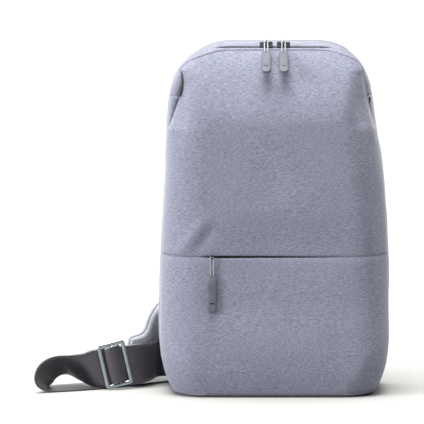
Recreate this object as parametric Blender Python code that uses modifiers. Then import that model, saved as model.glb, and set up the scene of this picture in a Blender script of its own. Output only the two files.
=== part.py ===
"""Daypack: a single-strap sling pack with a main zip over the top, a slit pocket and a webbing strap.

Metres, +Z up. The origin is the centre of the base's underside. The front faces -Y, +X is to the right.
"""

from math import acos, asin, cos, pi, radians, sin, sqrt

import bmesh
import bpy
from mathutils import Matrix, Vector

# Body
HEIGHT = 0.362
HALF_WIDTH = 0.1187  # at WIDEST_Z
WIDEST_Z = 0.070
BASE_TUCK = 0.0147  # how much narrower each side is at the floor
TAPER = 0.25  # narrowing of each side per square metre above WIDEST_Z
SHOULDER_Z = 0.312
TOP_HALF = 0.045  # half the flat top
SHOULDER_POWER = 2.1
FRONT_Y = -0.050
BACK_Y = 0.050
EDGE_WIDE = 0.040  # front edge rounding, along X
EDGE_DEEP = 0.032  # front edge rounding, along Y
LEAN_Z = 0.285  # the front leans back above this
LEAN_DEEP = 0.048
LEAN_POWER = 1.65
FOOT_Z = 0.030
FOOT_TUCK = 0.005

# Cloth and boards
CLOTH = 0.0025
SEAM = 0.0006  # gap at a sewn seam
PAD_BACK = 0.008  # thickness of the back panel
BASE_THICK = 0.004
BOARD = 0.0014
LINING = 0.0012
TAPE = 0.0012
GAP = 0.0003
BACK_FRONT_Y = BACK_Y - PAD_BACK
SHELL_FOOT_Z = BASE_THICK + SEAM
POCKET_WALL_Y = -0.0285
POCKET_WALL_TOP = 0.158
SLEEVE_Y = 0.0291
SLEEVE_HALF = 0.100
SLEEVE_TOP = 0.245

# Mouth and zips
FLAP_Z = 0.305  # fold line of the mouth flap
SLIT_Z = 0.312  # lower ends of the main zip
ZIP_HALF = 0.006  # width of one zip tape
MOUTH_EDGE = radians(86.5)  # where the flap's cloth ends on the rounded edge
FLAP_TOP = 0.998  # and at the top, as a share of the lean
POCKET_Z = 0.1476
POCKET_SLOT = 0.0016
POCKET_LEFT = -0.077
POCKET_RIGHT = 0.069
POCKET_TAPE = 0.0062

# Sliders and pulls
SLIDER_X = 0.009
SLIDER_SIZE = (0.0135, 0.0062, 0.0018)
ZIP_Y = FRONT_Y + LEAN_DEEP
CROWN_HALF = 0.0012
CROWN_WIDE = 0.0064
CROWN_TALL = 0.0050
EYE = 0.0013
PULL_LEAN = radians(62)
POCKET_SLIDER_X = -0.065
POCKET_EYE_Y = FRONT_Y - 0.0032
WIRE = 0.0008
BAR_HALF = 0.0023
BAR_LONG = 0.0195
SHEATH_LONG = 0.038
SHEATH_WIDE = 0.0095
SHEATH_THICK = 0.0036

# Strap
PAD_THICK = 0.010
WEBBING = 0.040
WEBBING_THICK = 0.0014
ADJUSTER_AT = Vector((-0.165, 0.006, 0.0268))
ADJUSTER_YAW = radians(12)
ADJUSTER_ROLL = radians(13)
ADJUSTER_WIDE = 0.024  # between the centres of the side bars
ADJUSTER_TALL = 0.045
ADJUSTER_WIRE = 0.0015
# The strap pad's line on the floor plan, from its tip round the pack's corner to the middle of the back.
PAD_PLAN = [(-0.1535, 0.0208), (-0.1400, 0.0285), (-0.1345, 0.0375), (-0.1315, 0.0480),
            (-0.1245, 0.0585), (-0.1090, 0.0608), (-0.0600, 0.0608), (0.0300, 0.0608), (0.0700, 0.0608)]
# The pad's own line on that upright surface: distance from the tip, height, width.
PAD_LINE = [(0.000, 0.0300, 0.043), (0.012, 0.0305, 0.046), (0.026, 0.0325, 0.050), (0.046, 0.0400, 0.058),
            (0.076, 0.0580, 0.066), (0.109, 0.0900, 0.070), (0.138, 0.1350, 0.072), (0.156, 0.1850, 0.073),
            (0.168, 0.2400, 0.073), (0.176, 0.2950, 0.072), (0.178, 0.3360, 0.068)]
# The webbing's two edges: upper or front edge, then lower or back edge.
WEBBING_EDGES = [
    ((-0.1000, 0.0530, 0.0470), (-0.1000, 0.0530, 0.0070)),
    ((-0.1120, 0.0530, 0.0470), (-0.1120, 0.0530, 0.0070)),
    ((-0.1195, 0.0515, 0.0470), (-0.1195, 0.0515, 0.0070)),
    ((-0.1240, 0.0440, 0.0470), (-0.1240, 0.0440, 0.0070)),
    ((-0.1270, 0.0330, 0.0470), (-0.1270, 0.0330, 0.0070)),
    ((-0.1335, 0.0215, 0.0470), (-0.1335, 0.0215, 0.0070)),
    ((-0.1465, 0.0147, 0.0468), (-0.1455, 0.0148, 0.0068)),
    ((-0.1685, 0.0100, 0.0452), (-0.1600, 0.0118, 0.0061)),
    ((-0.1870, 0.0061, 0.0430), (-0.1760, 0.0084, 0.0045)),
    ((-0.2000, 0.0050, 0.0385), (-0.1885, 0.0130, 0.0035)),
    ((-0.2130, 0.0025, 0.0365), (-0.2020, 0.0265, 0.0062)),
    ((-0.2270, -0.0030, 0.0365), (-0.2150, 0.0280, 0.0125)),
    ((-0.2385, -0.0095, 0.0335), (-0.2235, 0.0215, 0.0130)),
    ((-0.2465, -0.0155, 0.0265), (-0.2290, 0.0170, 0.0100)),
    ((-0.2495, -0.0200, 0.0170), (-0.2315, 0.0150, 0.0068)),
    ((-0.2470, -0.0205, 0.0085), (-0.2345, 0.0170, 0.0036)),
    ((-0.2400, -0.0185, 0.0035), (-0.2370, 0.0205, 0.0018)),
    ((-0.2295, -0.0143, 0.0011), (-0.2400, 0.0240, 0.0011)),
    ((-0.1968, -0.0017, 0.0011), (-0.2112, 0.0357, 0.0011)),
    ((-0.1646, 0.0153, 0.0011), (-0.1834, 0.0507, 0.0011)),
    ((-0.1348, 0.0344, 0.0011), (-0.1572, 0.0676, 0.0011)),
    ((-0.1057, 0.0552, 0.0011), (-0.1303, 0.0868, 0.0011)),
    ((-0.0625, 0.0868, 0.0011), (-0.1025, 0.1063, 0.0011)),
]
FOLD_NEAR = (-0.062, 0.0868)
FOLD_FAR = (-0.102, 0.1063)
ANCHOR_Y = 0.0545

# Colours: base colour, roughness, metallic
HEATHER = ((0.36, 0.37, 0.47), 0.9, 0.0)
DARK_CLOTH = ((0.20, 0.21, 0.25), 0.9, 0.0)
MESH_CLOTH = ((0.30, 0.32, 0.35), 0.9, 0.0)
BLACK_TAPE = ((0.02, 0.02, 0.025), 0.7, 0.0)
BOARD_WHITE = ((0.70, 0.70, 0.68), 0.6, 0.0)
BLACK_METAL = ((0.03, 0.03, 0.035), 0.35, 1.0)
SILVER = ((0.62, 0.64, 0.66), 0.25, 1.0)
RUBBER = ((0.10, 0.11, 0.14), 0.6, 0.0)
WEBBING_DARK = ((0.035, 0.032, 0.042), 0.5, 0.0)
ADJUSTER_METAL = ((0.42, 0.50, 0.53), 0.3, 1.0)

for old in list(bpy.data.objects):
    bpy.data.objects.remove(old, do_unlink=True)
PARTS = bpy.data.collections.new("daypack")
bpy.context.scene.collection.children.link(PARTS)


# Helpers

def material(name, look):
    """A Principled material with a part's colour, roughness and metallic value."""
    made = bpy.data.materials.new(name)
    made.use_nodes = True
    shader = made.node_tree.nodes["Principled BSDF"]
    colour, roughness, metallic = look
    shader.inputs["Base Color"].default_value = (*colour, 1.0)
    shader.inputs["Roughness"].default_value = roughness
    shader.inputs["Metallic"].default_value = metallic
    return made


def add(name, data, look, place=None, parent=None):
    """Links a mesh or curve as a part, at a matrix given in the parent's space."""
    part = bpy.data.objects.new(name, data)
    PARTS.objects.link(part)
    data.materials.append(material(name, look))
    if parent:
        part.parent = parent
    if place is not None:
        part.matrix_local = place
    return part


def pivot(name, at, turn=None):
    """An empty on a moving piece's axis."""
    empty = bpy.data.objects.new(name, None)
    PARTS.objects.link(empty)
    empty.matrix_world = Matrix.Translation(at) @ (turn if turn else Matrix())
    return empty


def mapped_sheet(name, along, across, place, thick, look, offset=-1.0):
    """A grid whose points a function places, thickened; along x across faces out."""
    shape = bmesh.new()
    bmesh.ops.create_grid(shape, x_segments=along, y_segments=across, size=0.5)
    for point in shape.verts:
        point.co = place(point.co.x + 0.5, point.co.y + 0.5)
    mesh = bpy.data.meshes.new(name)
    shape.to_mesh(mesh)
    shape.free()
    mesh.shade_smooth()
    part = add(name, mesh, look)
    solid = part.modifiers.new("thickness", "SOLIDIFY")
    solid.thickness = thick
    solid.offset = offset
    solid.use_even_offset = True
    return part


def flat_outline(name, points, thick, look, place, parent=None, holes=()):
    """A closed outline in its own XY plane, filled and extruded to a thickness."""
    curve = bpy.data.curves.new(name, "CURVE")
    curve.dimensions = "2D"
    curve.fill_mode = "BOTH"
    curve.extrude = thick / 2
    for outline in (points, *holes):
        line = curve.splines.new("POLY")
        line.points.add(len(outline) - 1)
        for point, (x, y) in zip(line.points, outline):
            point.co = (x, y, 0, 1)
        line.use_cyclic_u = True
    return add(name, curve, look, place, parent)


def wire(name, points, radius, look, place, parent=None, closed=False):
    """A round wire through points."""
    curve = bpy.data.curves.new(name, "CURVE")
    curve.dimensions = "3D"
    curve.bevel_depth = radius
    curve.bevel_resolution = 2
    curve.use_fill_caps = True
    line = curve.splines.new("POLY")
    line.points.add(len(points) - 1)
    for point, at in zip(line.points, points):
        point.co = (*at, 1)
    line.use_cyclic_u = closed
    return add(name, curve, look, place, parent)


def box(name, size, at, look, bevel=0.0, parent=None):
    """A box with rounded edges."""
    shape = bmesh.new()
    bmesh.ops.create_cube(shape, size=1.0)
    bmesh.ops.scale(shape, vec=size, verts=shape.verts)
    mesh = bpy.data.meshes.new(name)
    shape.to_mesh(mesh)
    shape.free()
    part = add(name, mesh, look, Matrix.Translation(at), parent)
    if bevel:
        rounded = part.modifiers.new("edges", "BEVEL")
        rounded.width = bevel
        rounded.segments = 2
        rounded.limit_method = "ANGLE"
    return part


def arc(centre, radius, start, end, steps):
    """Points on a circle's arc, angles in degrees."""
    turns = [radians(start + (end - start) * i / steps) for i in range(steps + 1)]
    return [(centre[0] + radius * cos(a), centre[1] + radius * sin(a)) for a in turns]


def rounded_rectangle(half_x, low_y, high_y, low_radius, high_radius, steps=5):
    """An outline with one radius at the low-Y corners and another at the high-Y ones."""
    inner, outer = half_x - low_radius, half_x - high_radius
    return (arc((inner, low_y + low_radius), low_radius, -90, 0, steps)
            + arc((outer, high_y - high_radius), high_radius, 0, 90, steps)
            + arc((-outer, high_y - high_radius), high_radius, 90, 180, steps)
            + arc((-inner, low_y + low_radius), low_radius, 180, 270, steps))


def smooth(points, share):
    """A point on the smooth curve through points, share going from 0 to 1 (Catmull-Rom)."""
    span = min(max(share, 0.0), 1.0) * (len(points) - 1)
    i = min(int(span), len(points) - 2)
    t = span - i
    p1, p2 = Vector(points[i]), Vector(points[i + 1])
    p0 = Vector(points[i - 1]) if i > 0 else 2 * p1 - p2
    p3 = Vector(points[i + 2]) if i + 2 < len(points) else 2 * p2 - p1
    bend = (2 * p0 - 5 * p1 + 4 * p2 - p3) * t ** 2 + (3 * p1 - p0 - 3 * p2 + p3) * t ** 3
    return p1 + ((p2 - p0) * t + bend) / 2


# The body's form

def half_width(z):
    """Half the body's width at a height."""
    if z < WIDEST_Z:
        return HALF_WIDTH - BASE_TUCK * (1 - z / WIDEST_Z) ** 2.7
    if z <= SHOULDER_Z:
        return HALF_WIDTH - TAPER * (z - WIDEST_Z) ** 2
    edge = HALF_WIDTH - TAPER * (SHOULDER_Z - WIDEST_Z) ** 2
    rise = min(1.0, (z - SHOULDER_Z) / (HEIGHT - SHOULDER_Z))
    round_off = (1 - rise ** SHOULDER_POWER) ** (1 / SHOULDER_POWER)
    return TOP_HALF + (edge - TOP_HALF) * round_off


def front_y(x, z):
    """The front's Y: flat, rounded at its sides, leaning back at the top, tucked in at the foot."""
    out = min(1.0, max(0.0, (abs(x) - half_width(z) + EDGE_WIDE) / EDGE_WIDE))
    side = EDGE_DEEP * (1 - sqrt(1 - out * out))
    rise = min(1.0, max(0.0, (z - LEAN_Z) / (HEIGHT - LEAN_Z)))
    lean = LEAN_DEEP * (1 - (1 - rise ** LEAN_POWER) ** (1 / LEAN_POWER))
    foot = FOOT_TUCK * max(0.0, 1 - z / FOOT_Z) ** 2
    return FRONT_Y + foot + min(LEAN_DEEP, (side ** 3 + lean ** 3) ** (1 / 3))


def across_front(u, z, edge):
    """The X at a share u of the width, closer together where the edges round off."""
    middle = half_width(z) - EDGE_WIDE
    share = 2 * u - 1
    flat = 0.5  # share of the columns that lie on the flat middle
    if abs(share) <= flat:
        return middle * share / flat
    turn = (abs(share) - flat) / (1 - flat) * edge
    return (middle + EDGE_WIDE * sin(turn)) * (1 if share > 0 else -1)


def front_piece(name, low, high, along, across, edge, look):
    """A piece of the front between two heights, or lean angles above the lean line."""
    def place(u, v):
        z = low + (high - low) * v
        if low > LEAN_Z:
            lean = HEIGHT - LEAN_Z
            start, end = asin((low - LEAN_Z) / lean), asin((high - LEAN_Z) / lean)
            z = LEAN_Z + lean * sin(start + (end - start) * v)
        x = across_front(u, z, edge)
        return x, front_y(x, z), z
    return mapped_sheet(name, along, across, place, CLOTH, look)


def over_the_top(u, low):
    """A point of the silhouette, from the right side at a low height over the top to the left."""
    share = 2 * u - 1
    flat = 0.2  # share of the points on the flat top
    if abs(share) <= flat:
        return -TOP_HALF * share / flat, HEIGHT
    turn = (1 - abs(share)) / (1 - flat) * pi / 2
    z = low + (HEIGHT - low) * sin(turn)
    return half_width(z) * (-1 if share > 0 else 1), z


def rim_y(z):
    """Where the front meets the gusset."""
    return front_y(half_width(z), z)


def rim_inward(x, z):
    """The unit direction into the body, square to the silhouette."""
    step = 0.0005
    if z >= HEIGHT - 1e-9 and abs(x) <= TOP_HALF:
        return Vector((0, 0, -1))
    slope = (half_width(z) - half_width(z - step)) / step
    inward = Vector((-1, 0, slope)).normalized()
    return Vector((inward.x * (1 if x > 0 else -1), 0, inward.z))


def rim_tape(name, back, front, sink, look):
    """A zip tape under the cloth's edge, along the main zip, from one offset in Y to another, its front sunk."""
    def place(u, v):
        x, z = over_the_top(u, SLIT_Z + 0.0025)
        inside = rim_inward(x, z) * (CLOTH + GAP + sink * (0.3 + v))
        return x + inside.x, rim_y(z) + back + (front - back) * v, z + inside.z
    return mapped_sheet(name, 44, 1, place, TAPE, look)


# Body shell

flat_outline("base_panel", rounded_rectangle(half_width(0), FRONT_Y + FOOT_TUCK, BACK_Y, 0.030, 0.006),
             BASE_THICK, DARK_CLOTH, Matrix.Translation((0, 0, BASE_THICK / 2)))
flat_outline("base_stiffener", rounded_rectangle(0.094, -0.039, 0.037, 0.026, 0.004), BOARD, BOARD_WHITE,
             Matrix.Translation((0, 0, SHELL_FOOT_Z + BOARD / 2)))

front_piece("front_panel_lower", SHELL_FOOT_Z, POCKET_Z - POCKET_SLOT / 2, 20, 8, radians(88.5), HEATHER)
front_piece("front_panel_upper", POCKET_Z + POCKET_SLOT / 2, FLAP_Z - SEAM / 2, 20, 8, radians(88.5), HEATHER)
flap_top = LEAN_Z + (HEIGHT - LEAN_Z) * FLAP_TOP
flap_axis = pivot("mouth_flap_axis", (0, front_y(0, FLAP_Z), FLAP_Z))
front_flap = front_piece("front_flap", FLAP_Z + SEAM / 2, flap_top, 20, 10, MOUTH_EDGE, HEATHER)

for side, sign in (("right", 1), ("left", -1)):
    def gusset(u, v, sign=sign):
        z = SHELL_FOOT_Z + (SLIT_Z - SEAM - SHELL_FOOT_Z) * (u if sign > 0 else 1 - u)
        front = rim_y(z) + GAP
        return sign * half_width(z), BACK_FRONT_Y - SEAM + (front - BACK_FRONT_Y + SEAM) * v, z
    mapped_sheet("side_gusset_" + side, 12, 2, gusset, CLOTH, HEATHER)


def top_gusset(u, v):
    x, z = over_the_top(u, SLIT_Z)
    front = rim_y(z) + POCKET_SLOT
    return x, BACK_FRONT_Y - SEAM + (front - BACK_FRONT_Y + SEAM) * v, z


mapped_sheet("top_gusset", 40, 2, top_gusset, CLOTH, HEATHER)


def arch(inset, low, steps=40):
    """The silhouette as a closed outline, with a straight foot."""
    points = []
    for i in range(steps + 1):
        x, z = over_the_top(i / steps, low)
        inside = rim_inward(x, z) * inset
        points.append((x + inside.x, z + inside.z))
    return points


UPRIGHT = Matrix.Rotation(pi / 2, 4, "X")  # an outline's Y becomes +Z, its thickness lies along Y
flat_outline("back_panel", arch(0.0, SHELL_FOOT_Z), PAD_BACK, DARK_CLOTH,
             Matrix.Translation((0, BACK_Y - PAD_BACK / 2, 0)) @ UPRIGHT)
flat_outline("back_stiffener", arch(0.012, SHELL_FOOT_Z + 0.008), BOARD, BOARD_WHITE,
             Matrix.Translation((0, BACK_FRONT_Y - GAP - BOARD / 2, 0)) @ UPRIGHT)


# Inside

def pocket_wall(u, v):
    """The pocket's back wall, which turns forward to the front panel above the slit."""
    low = SHELL_FOOT_Z + BOARD + SEAM
    z = low + (POCKET_WALL_TOP - low) * v
    x = (2 * u - 1) * (half_width(z) - 0.0095)
    turn = min(1.0, max(0.0, (z - 0.135) / 0.020))
    turn = turn * turn * (3 - 2 * turn)
    at_front = front_y(x, z) + 1.5 * CLOTH + SEAM
    return x, POCKET_WALL_Y + (at_front - POCKET_WALL_Y) * turn, z


def sleeve(u, v):
    low = SHELL_FOOT_Z + BOARD + SEAM
    return (2 * u - 1) * SLEEVE_HALF, SLEEVE_Y, low + (SLEEVE_TOP - low) * v


mapped_sheet("pocket_inner_wall", 10, 16, pocket_wall, LINING, DARK_CLOTH)
mapped_sheet("tablet_sleeve", 2, 2, sleeve, LINING, DARK_CLOTH, offset=0.0)


# Zip tapes and their stops

rim_tape("main_zip_rear_tape", ZIP_HALF, GAP, 0.0, BLACK_TAPE)
front_tape = rim_tape("main_zip_front_tape", -GAP, -ZIP_HALF, 0.0026, BLACK_TAPE)
for side, sign in (("left", -1), ("right", 1)):
    at = Vector((sign * (half_width(SLIT_Z) - 0.0060), rim_y(SLIT_Z), SLIT_Z - 0.0040))
    box("main_zip_stop_" + side, (0.0020, 0.0080, 0.0050), at, BLACK_TAPE, 0.0004)

pocket_tape_y = FRONT_Y + CLOTH + GAP + TAPE / 2
for side, sign in (("upper", 1), ("lower", -1)):
    middle = POCKET_Z + sign * (POCKET_SLOT + POCKET_TAPE) / 2
    box("pocket_zip_tape_" + side, (POCKET_RIGHT - POCKET_LEFT, TAPE, POCKET_TAPE),
        ((POCKET_LEFT + POCKET_RIGHT) / 2, pocket_tape_y, middle), BLACK_TAPE)
for side, x in (("left", POCKET_LEFT - 0.0015), ("right", POCKET_RIGHT + 0.0015)):
    box("pocket_zip_stop_" + side, (0.0020, 0.0016, 0.0070), (x, pocket_tape_y + 0.0004, POCKET_Z), BLACK_METAL)


# Sliders and pulls

# An outline's X to +Y and its Y to +Z, its thickness along X
ACROSS = Matrix.Rotation(pi / 2, 4, "Z") @ Matrix.Rotation(pi / 2, 4, "X")


def crown_outline():
    """The arch that holds a pull's wire, round on top, with its eye at the origin."""
    top = arc((0, 0), CROWN_WIDE / 2, 0, 180, 10)
    foot = -CROWN_TALL / 2
    return [(CROWN_WIDE / 2, foot)] + top + [(-CROWN_WIDE / 2, foot)]


def pull(name, hook, lean):
    """A bent wire and a rubber sheath that hang from an axis along X."""
    hang = Matrix.Rotation(-lean, 4, "X")
    corner = 0.0010
    bend = [(BAR_HALF - corner + corner * sin(a), 0, -corner + corner * cos(a))
            for a in (0, pi / 6, pi / 3, pi / 2)]
    right = bend + [(BAR_HALF, 0, -BAR_LONG)]
    left = [(-x, y, z) for x, y, z in reversed(right)]
    wire(name + "_bar", left + right, WIRE, SILVER, hang, hook)
    half, shoulder, round_foot = SHEATH_WIDE / 2, 0.0020, 0.0025
    outline = ([(half - shoulder, 0), (-half + shoulder, 0), (-half, -shoulder)]
               + arc((-half + round_foot, -SHEATH_LONG + round_foot), round_foot, 180, 270, 4)
               + arc((half - round_foot, -SHEATH_LONG + round_foot), round_foot, 270, 360, 4)
               + [(half, -shoulder)])
    below = Matrix.Translation((0, 0, -BAR_LONG - GAP)) @ UPRIGHT
    flat_outline(name + "_sheath", outline, SHEATH_THICK, RUBBER, hang @ below, hook)


plate_z = HEIGHT + GAP + SLIDER_SIZE[2] / 2
eye_z = HEIGHT + SLIDER_SIZE[2] + 2 * GAP + CROWN_TALL / 2
for side, sign in (("left", -1), ("right", 1)):
    x = sign * SLIDER_X
    box("main_slider_" + side, SLIDER_SIZE, (x, ZIP_Y, plate_z), BLACK_METAL, 0.0006)
    flat_outline("main_crown_" + side, crown_outline(), 2 * CROWN_HALF, SILVER,
                 Matrix.Translation((x, ZIP_Y, eye_z)) @ ACROSS, holes=[arc((0, 0), EYE, 0, 337.5, 15)])
    pull("main_pull_" + side, pivot("main_pull_axis_" + side, (x, ZIP_Y, eye_z)), PULL_LEAN)

slider_back_y = pocket_tape_y + TAPE / 2 + GAP
box("pocket_slider", (0.0080, 0.0022, 0.0090), (POCKET_SLIDER_X, slider_back_y + 0.0011, POCKET_Z),
    BLACK_METAL, 0.0005)
neck = 0.00045  # half the neck's height in the slit
neck_start = slider_back_y - GAP - POCKET_EYE_Y
eye_half = 0.0021
turn_in = acos(neck / eye_half) * 180 / pi
pocket_crown = ([(neck_start, neck)] + arc((0, 0), eye_half, 90 - turn_in, 270 + turn_in, 14)
                + [(neck_start, -neck)])
flat_outline("pocket_crown", pocket_crown, 2 * CROWN_HALF, SILVER,
             Matrix.Translation((POCKET_SLIDER_X, POCKET_EYE_Y, POCKET_Z)) @ ACROSS,
             holes=[arc((0, 0), EYE, 0, 337.5, 15)])
pull("pocket_pull", pivot("pocket_pull_axis", (POCKET_SLIDER_X, POCKET_EYE_Y, POCKET_Z)), 0.0)


# Strap

def plan_point(distance):
    """A point and the direction of the pad's plan line at a distance from its tip."""
    steps = 160
    line = [smooth(PAD_PLAN, i / steps) for i in range(steps + 1)]
    gone = 0.0
    for near, far in zip(line, line[1:]):
        long = (far - near).length
        if gone + long >= distance:
            return near.lerp(far, (distance - gone) / long)
        gone += long
    return line[-1]


def strap_pad(u, v):
    centre, ahead, behind = (smooth(PAD_LINE, share) for share in (u, u + 0.01, u - 0.01))
    side = Vector((behind.y - ahead.y, ahead.x - behind.x)).normalized() * centre.z * (v - 0.5)
    at = plan_point(max(0.0, centre.x + side.x))
    return at.x, at.y, centre.y + side.y


pad = mapped_sheet("strap_pad", 36, 2, strap_pad, PAD_THICK, MESH_CLOTH, offset=0.0)
edges = pad.modifiers.new("edges", "BEVEL")
edges.width = 0.003
edges.segments = 2
edges.limit_method = "ANGLE"
edges.angle_limit = radians(50)

box("strap_top_anchor", (0.064, 0.0046, 0.040), (0, BACK_Y + GAP + 0.0023, 0.330), DARK_CLOTH, 0.0006)


def webbing(u, v):
    upper = smooth([pair[0] for pair in WEBBING_EDGES], u)
    lower = smooth([pair[1] for pair in WEBBING_EDGES], u)
    return upper.lerp(lower, v)


mapped_sheet("strap_webbing", 88, 2, webbing, WEBBING_THICK, WEBBING_DARK, offset=0.0)
over_z = 0.0011 + WEBBING_THICK + 2 * GAP
flat_outline("webbing_anchor_run", [(FOLD_FAR[0], ANCHOR_Y), (FOLD_NEAR[0], ANCHOR_Y), FOLD_NEAR, FOLD_FAR],
             WEBBING_THICK, WEBBING_DARK, Matrix.Translation((0, 0, over_z)))
box("webbing_anchor_tab", (WEBBING + 0.004, 0.0036, 0.0040), (-0.082, BACK_Y + GAP + 0.0018, 0.0030),
    DARK_CLOTH, 0.0005)


# Adjuster, in its own frame: X along the strap, Z along the bars, -Y outwards

turned = Matrix.Rotation(ADJUSTER_YAW, 4, "Z") @ Matrix.Rotation(-ADJUSTER_ROLL, 4, "Y")
adjuster = pivot("adjuster_axis", ADJUSTER_AT, turned)
corners = rounded_rectangle(ADJUSTER_WIDE / 2, -ADJUSTER_TALL / 2, ADJUSTER_TALL / 2, 0.004, 0.004, 4)
wire("adjuster_frame", [(x, 0, z) for x, z in corners], ADJUSTER_WIRE, ADJUSTER_METAL, None, adjuster, closed=True)
bar_end = ADJUSTER_TALL / 2 - ADJUSTER_WIRE - GAP
wire("adjuster_centre_bar", [(0, 0, -bar_end), (0, 0, bar_end)], ADJUSTER_WIRE, ADJUSTER_METAL, None, adjuster)
roll = arc((0, 0), 0.0032, -60, 240, 16) + arc((0, 0), 0.0020, 240, -60, 16)
flat_outline("adjuster_webbing_roll", roll, WEBBING - 0.001, WEBBING_DARK, Matrix.Rotation(pi, 4, "X"), adjuster)

for piece in (front_flap, front_tape):
    piece.parent = flap_axis
    piece.matrix_parent_inverse = flap_axis.matrix_world.inverted()
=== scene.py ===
"""Looks for the daypack: its cloth, zips, pulls and strap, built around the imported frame.

Metres, +Z up. The front faces -Y, left is -X. The form functions follow the frame's surfaces, apart from the
pinch at the slits, the tucked shoulders, the sway, and the fill and folds, which are in the looks only.
"""

from math import asin, cos, exp, pi, radians, sin, sqrt

import bmesh
import bpy
import numpy as np
from mathutils import Matrix, Vector, noise


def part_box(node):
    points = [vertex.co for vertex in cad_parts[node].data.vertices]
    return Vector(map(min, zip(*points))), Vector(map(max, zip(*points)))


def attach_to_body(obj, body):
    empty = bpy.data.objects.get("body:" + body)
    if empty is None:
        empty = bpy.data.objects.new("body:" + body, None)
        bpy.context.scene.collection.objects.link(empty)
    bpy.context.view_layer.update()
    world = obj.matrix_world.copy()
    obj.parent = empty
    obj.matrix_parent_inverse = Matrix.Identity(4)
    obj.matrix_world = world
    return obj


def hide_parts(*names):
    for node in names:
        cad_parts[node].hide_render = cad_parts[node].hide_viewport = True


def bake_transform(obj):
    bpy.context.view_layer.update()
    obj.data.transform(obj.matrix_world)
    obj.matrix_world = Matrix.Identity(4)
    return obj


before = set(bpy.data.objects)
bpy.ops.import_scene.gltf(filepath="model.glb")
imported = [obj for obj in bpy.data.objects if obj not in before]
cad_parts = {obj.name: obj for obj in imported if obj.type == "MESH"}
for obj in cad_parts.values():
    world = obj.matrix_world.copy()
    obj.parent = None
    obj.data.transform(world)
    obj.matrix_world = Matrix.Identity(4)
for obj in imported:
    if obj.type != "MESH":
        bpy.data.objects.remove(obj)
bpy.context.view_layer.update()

# The body's form
HEIGHT = 0.362
HALF_WIDTH = 0.1187
WIDEST_Z = 0.070
BASE_TUCK = 0.0147
TAPER = 0.25
SHOULDER_Z = 0.312
TOP_HALF = 0.045
SHOULDER_POWER = 2.1
FRONT_Y = -0.050
BACK_Y = 0.050
EDGE_WIDE = 0.040
EDGE_DEEP = 0.032
LEAN_Z = 0.285
LEAN_DEEP = 0.048
LEAN_POWER = 1.65
FOOT_Z = 0.030
FOOT_TUCK = 0.005
SHELL_FOOT_Z = 0.0046
PANEL_Y = 0.042  # front face of the back panel
SLIT_Z = 0.312
ZIP_FOOT_Z = SLIT_Z + 0.001
POCKET_Z = 0.1476
POCKET_LEFT, POCKET_RIGHT = -0.077, 0.069
FLAP_EDGE_Z = 0.3602  # the front's cloth ends here, below the zip
CLOTH = 0.0013
PINCH_LEFT, PINCH_RIGHT = 0.0086, 0.0055  # how far the front is pinched in at the slits
TUCK_DEEP = 0.0052
SWAY_WIDE = 0.0040
SEWN_SHUT = 0.00008  # half the gap of a closed seam
ACROSS, BACKWARD = Vector((1, 0, 0)), Vector((0, 1, 0))

# Camera: a long lens in front of the pack, a little above it
aim = Vector((-0.065, 0.0, 0.188))
DISTANCE = 6.0
VIEW_WIDE = 0.441  # what the frame takes in at the pack
TILT = radians(7.5)
camera_data = bpy.data.cameras.new("camera")
camera_data.sensor_width = 36.0
camera_data.lens = 36.0 * DISTANCE / VIEW_WIDE
camera = bpy.data.objects.new("camera", camera_data)
bpy.context.scene.collection.objects.link(camera)
camera.location = (aim.x, -DISTANCE * cos(TILT), aim.z + DISTANCE * sin(TILT))
camera.rotation_euler = (pi / 2 - TILT, 0, 0)
bpy.context.scene.camera = camera
bpy.context.scene.view_settings.view_transform = "Standard"


# Materials

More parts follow.
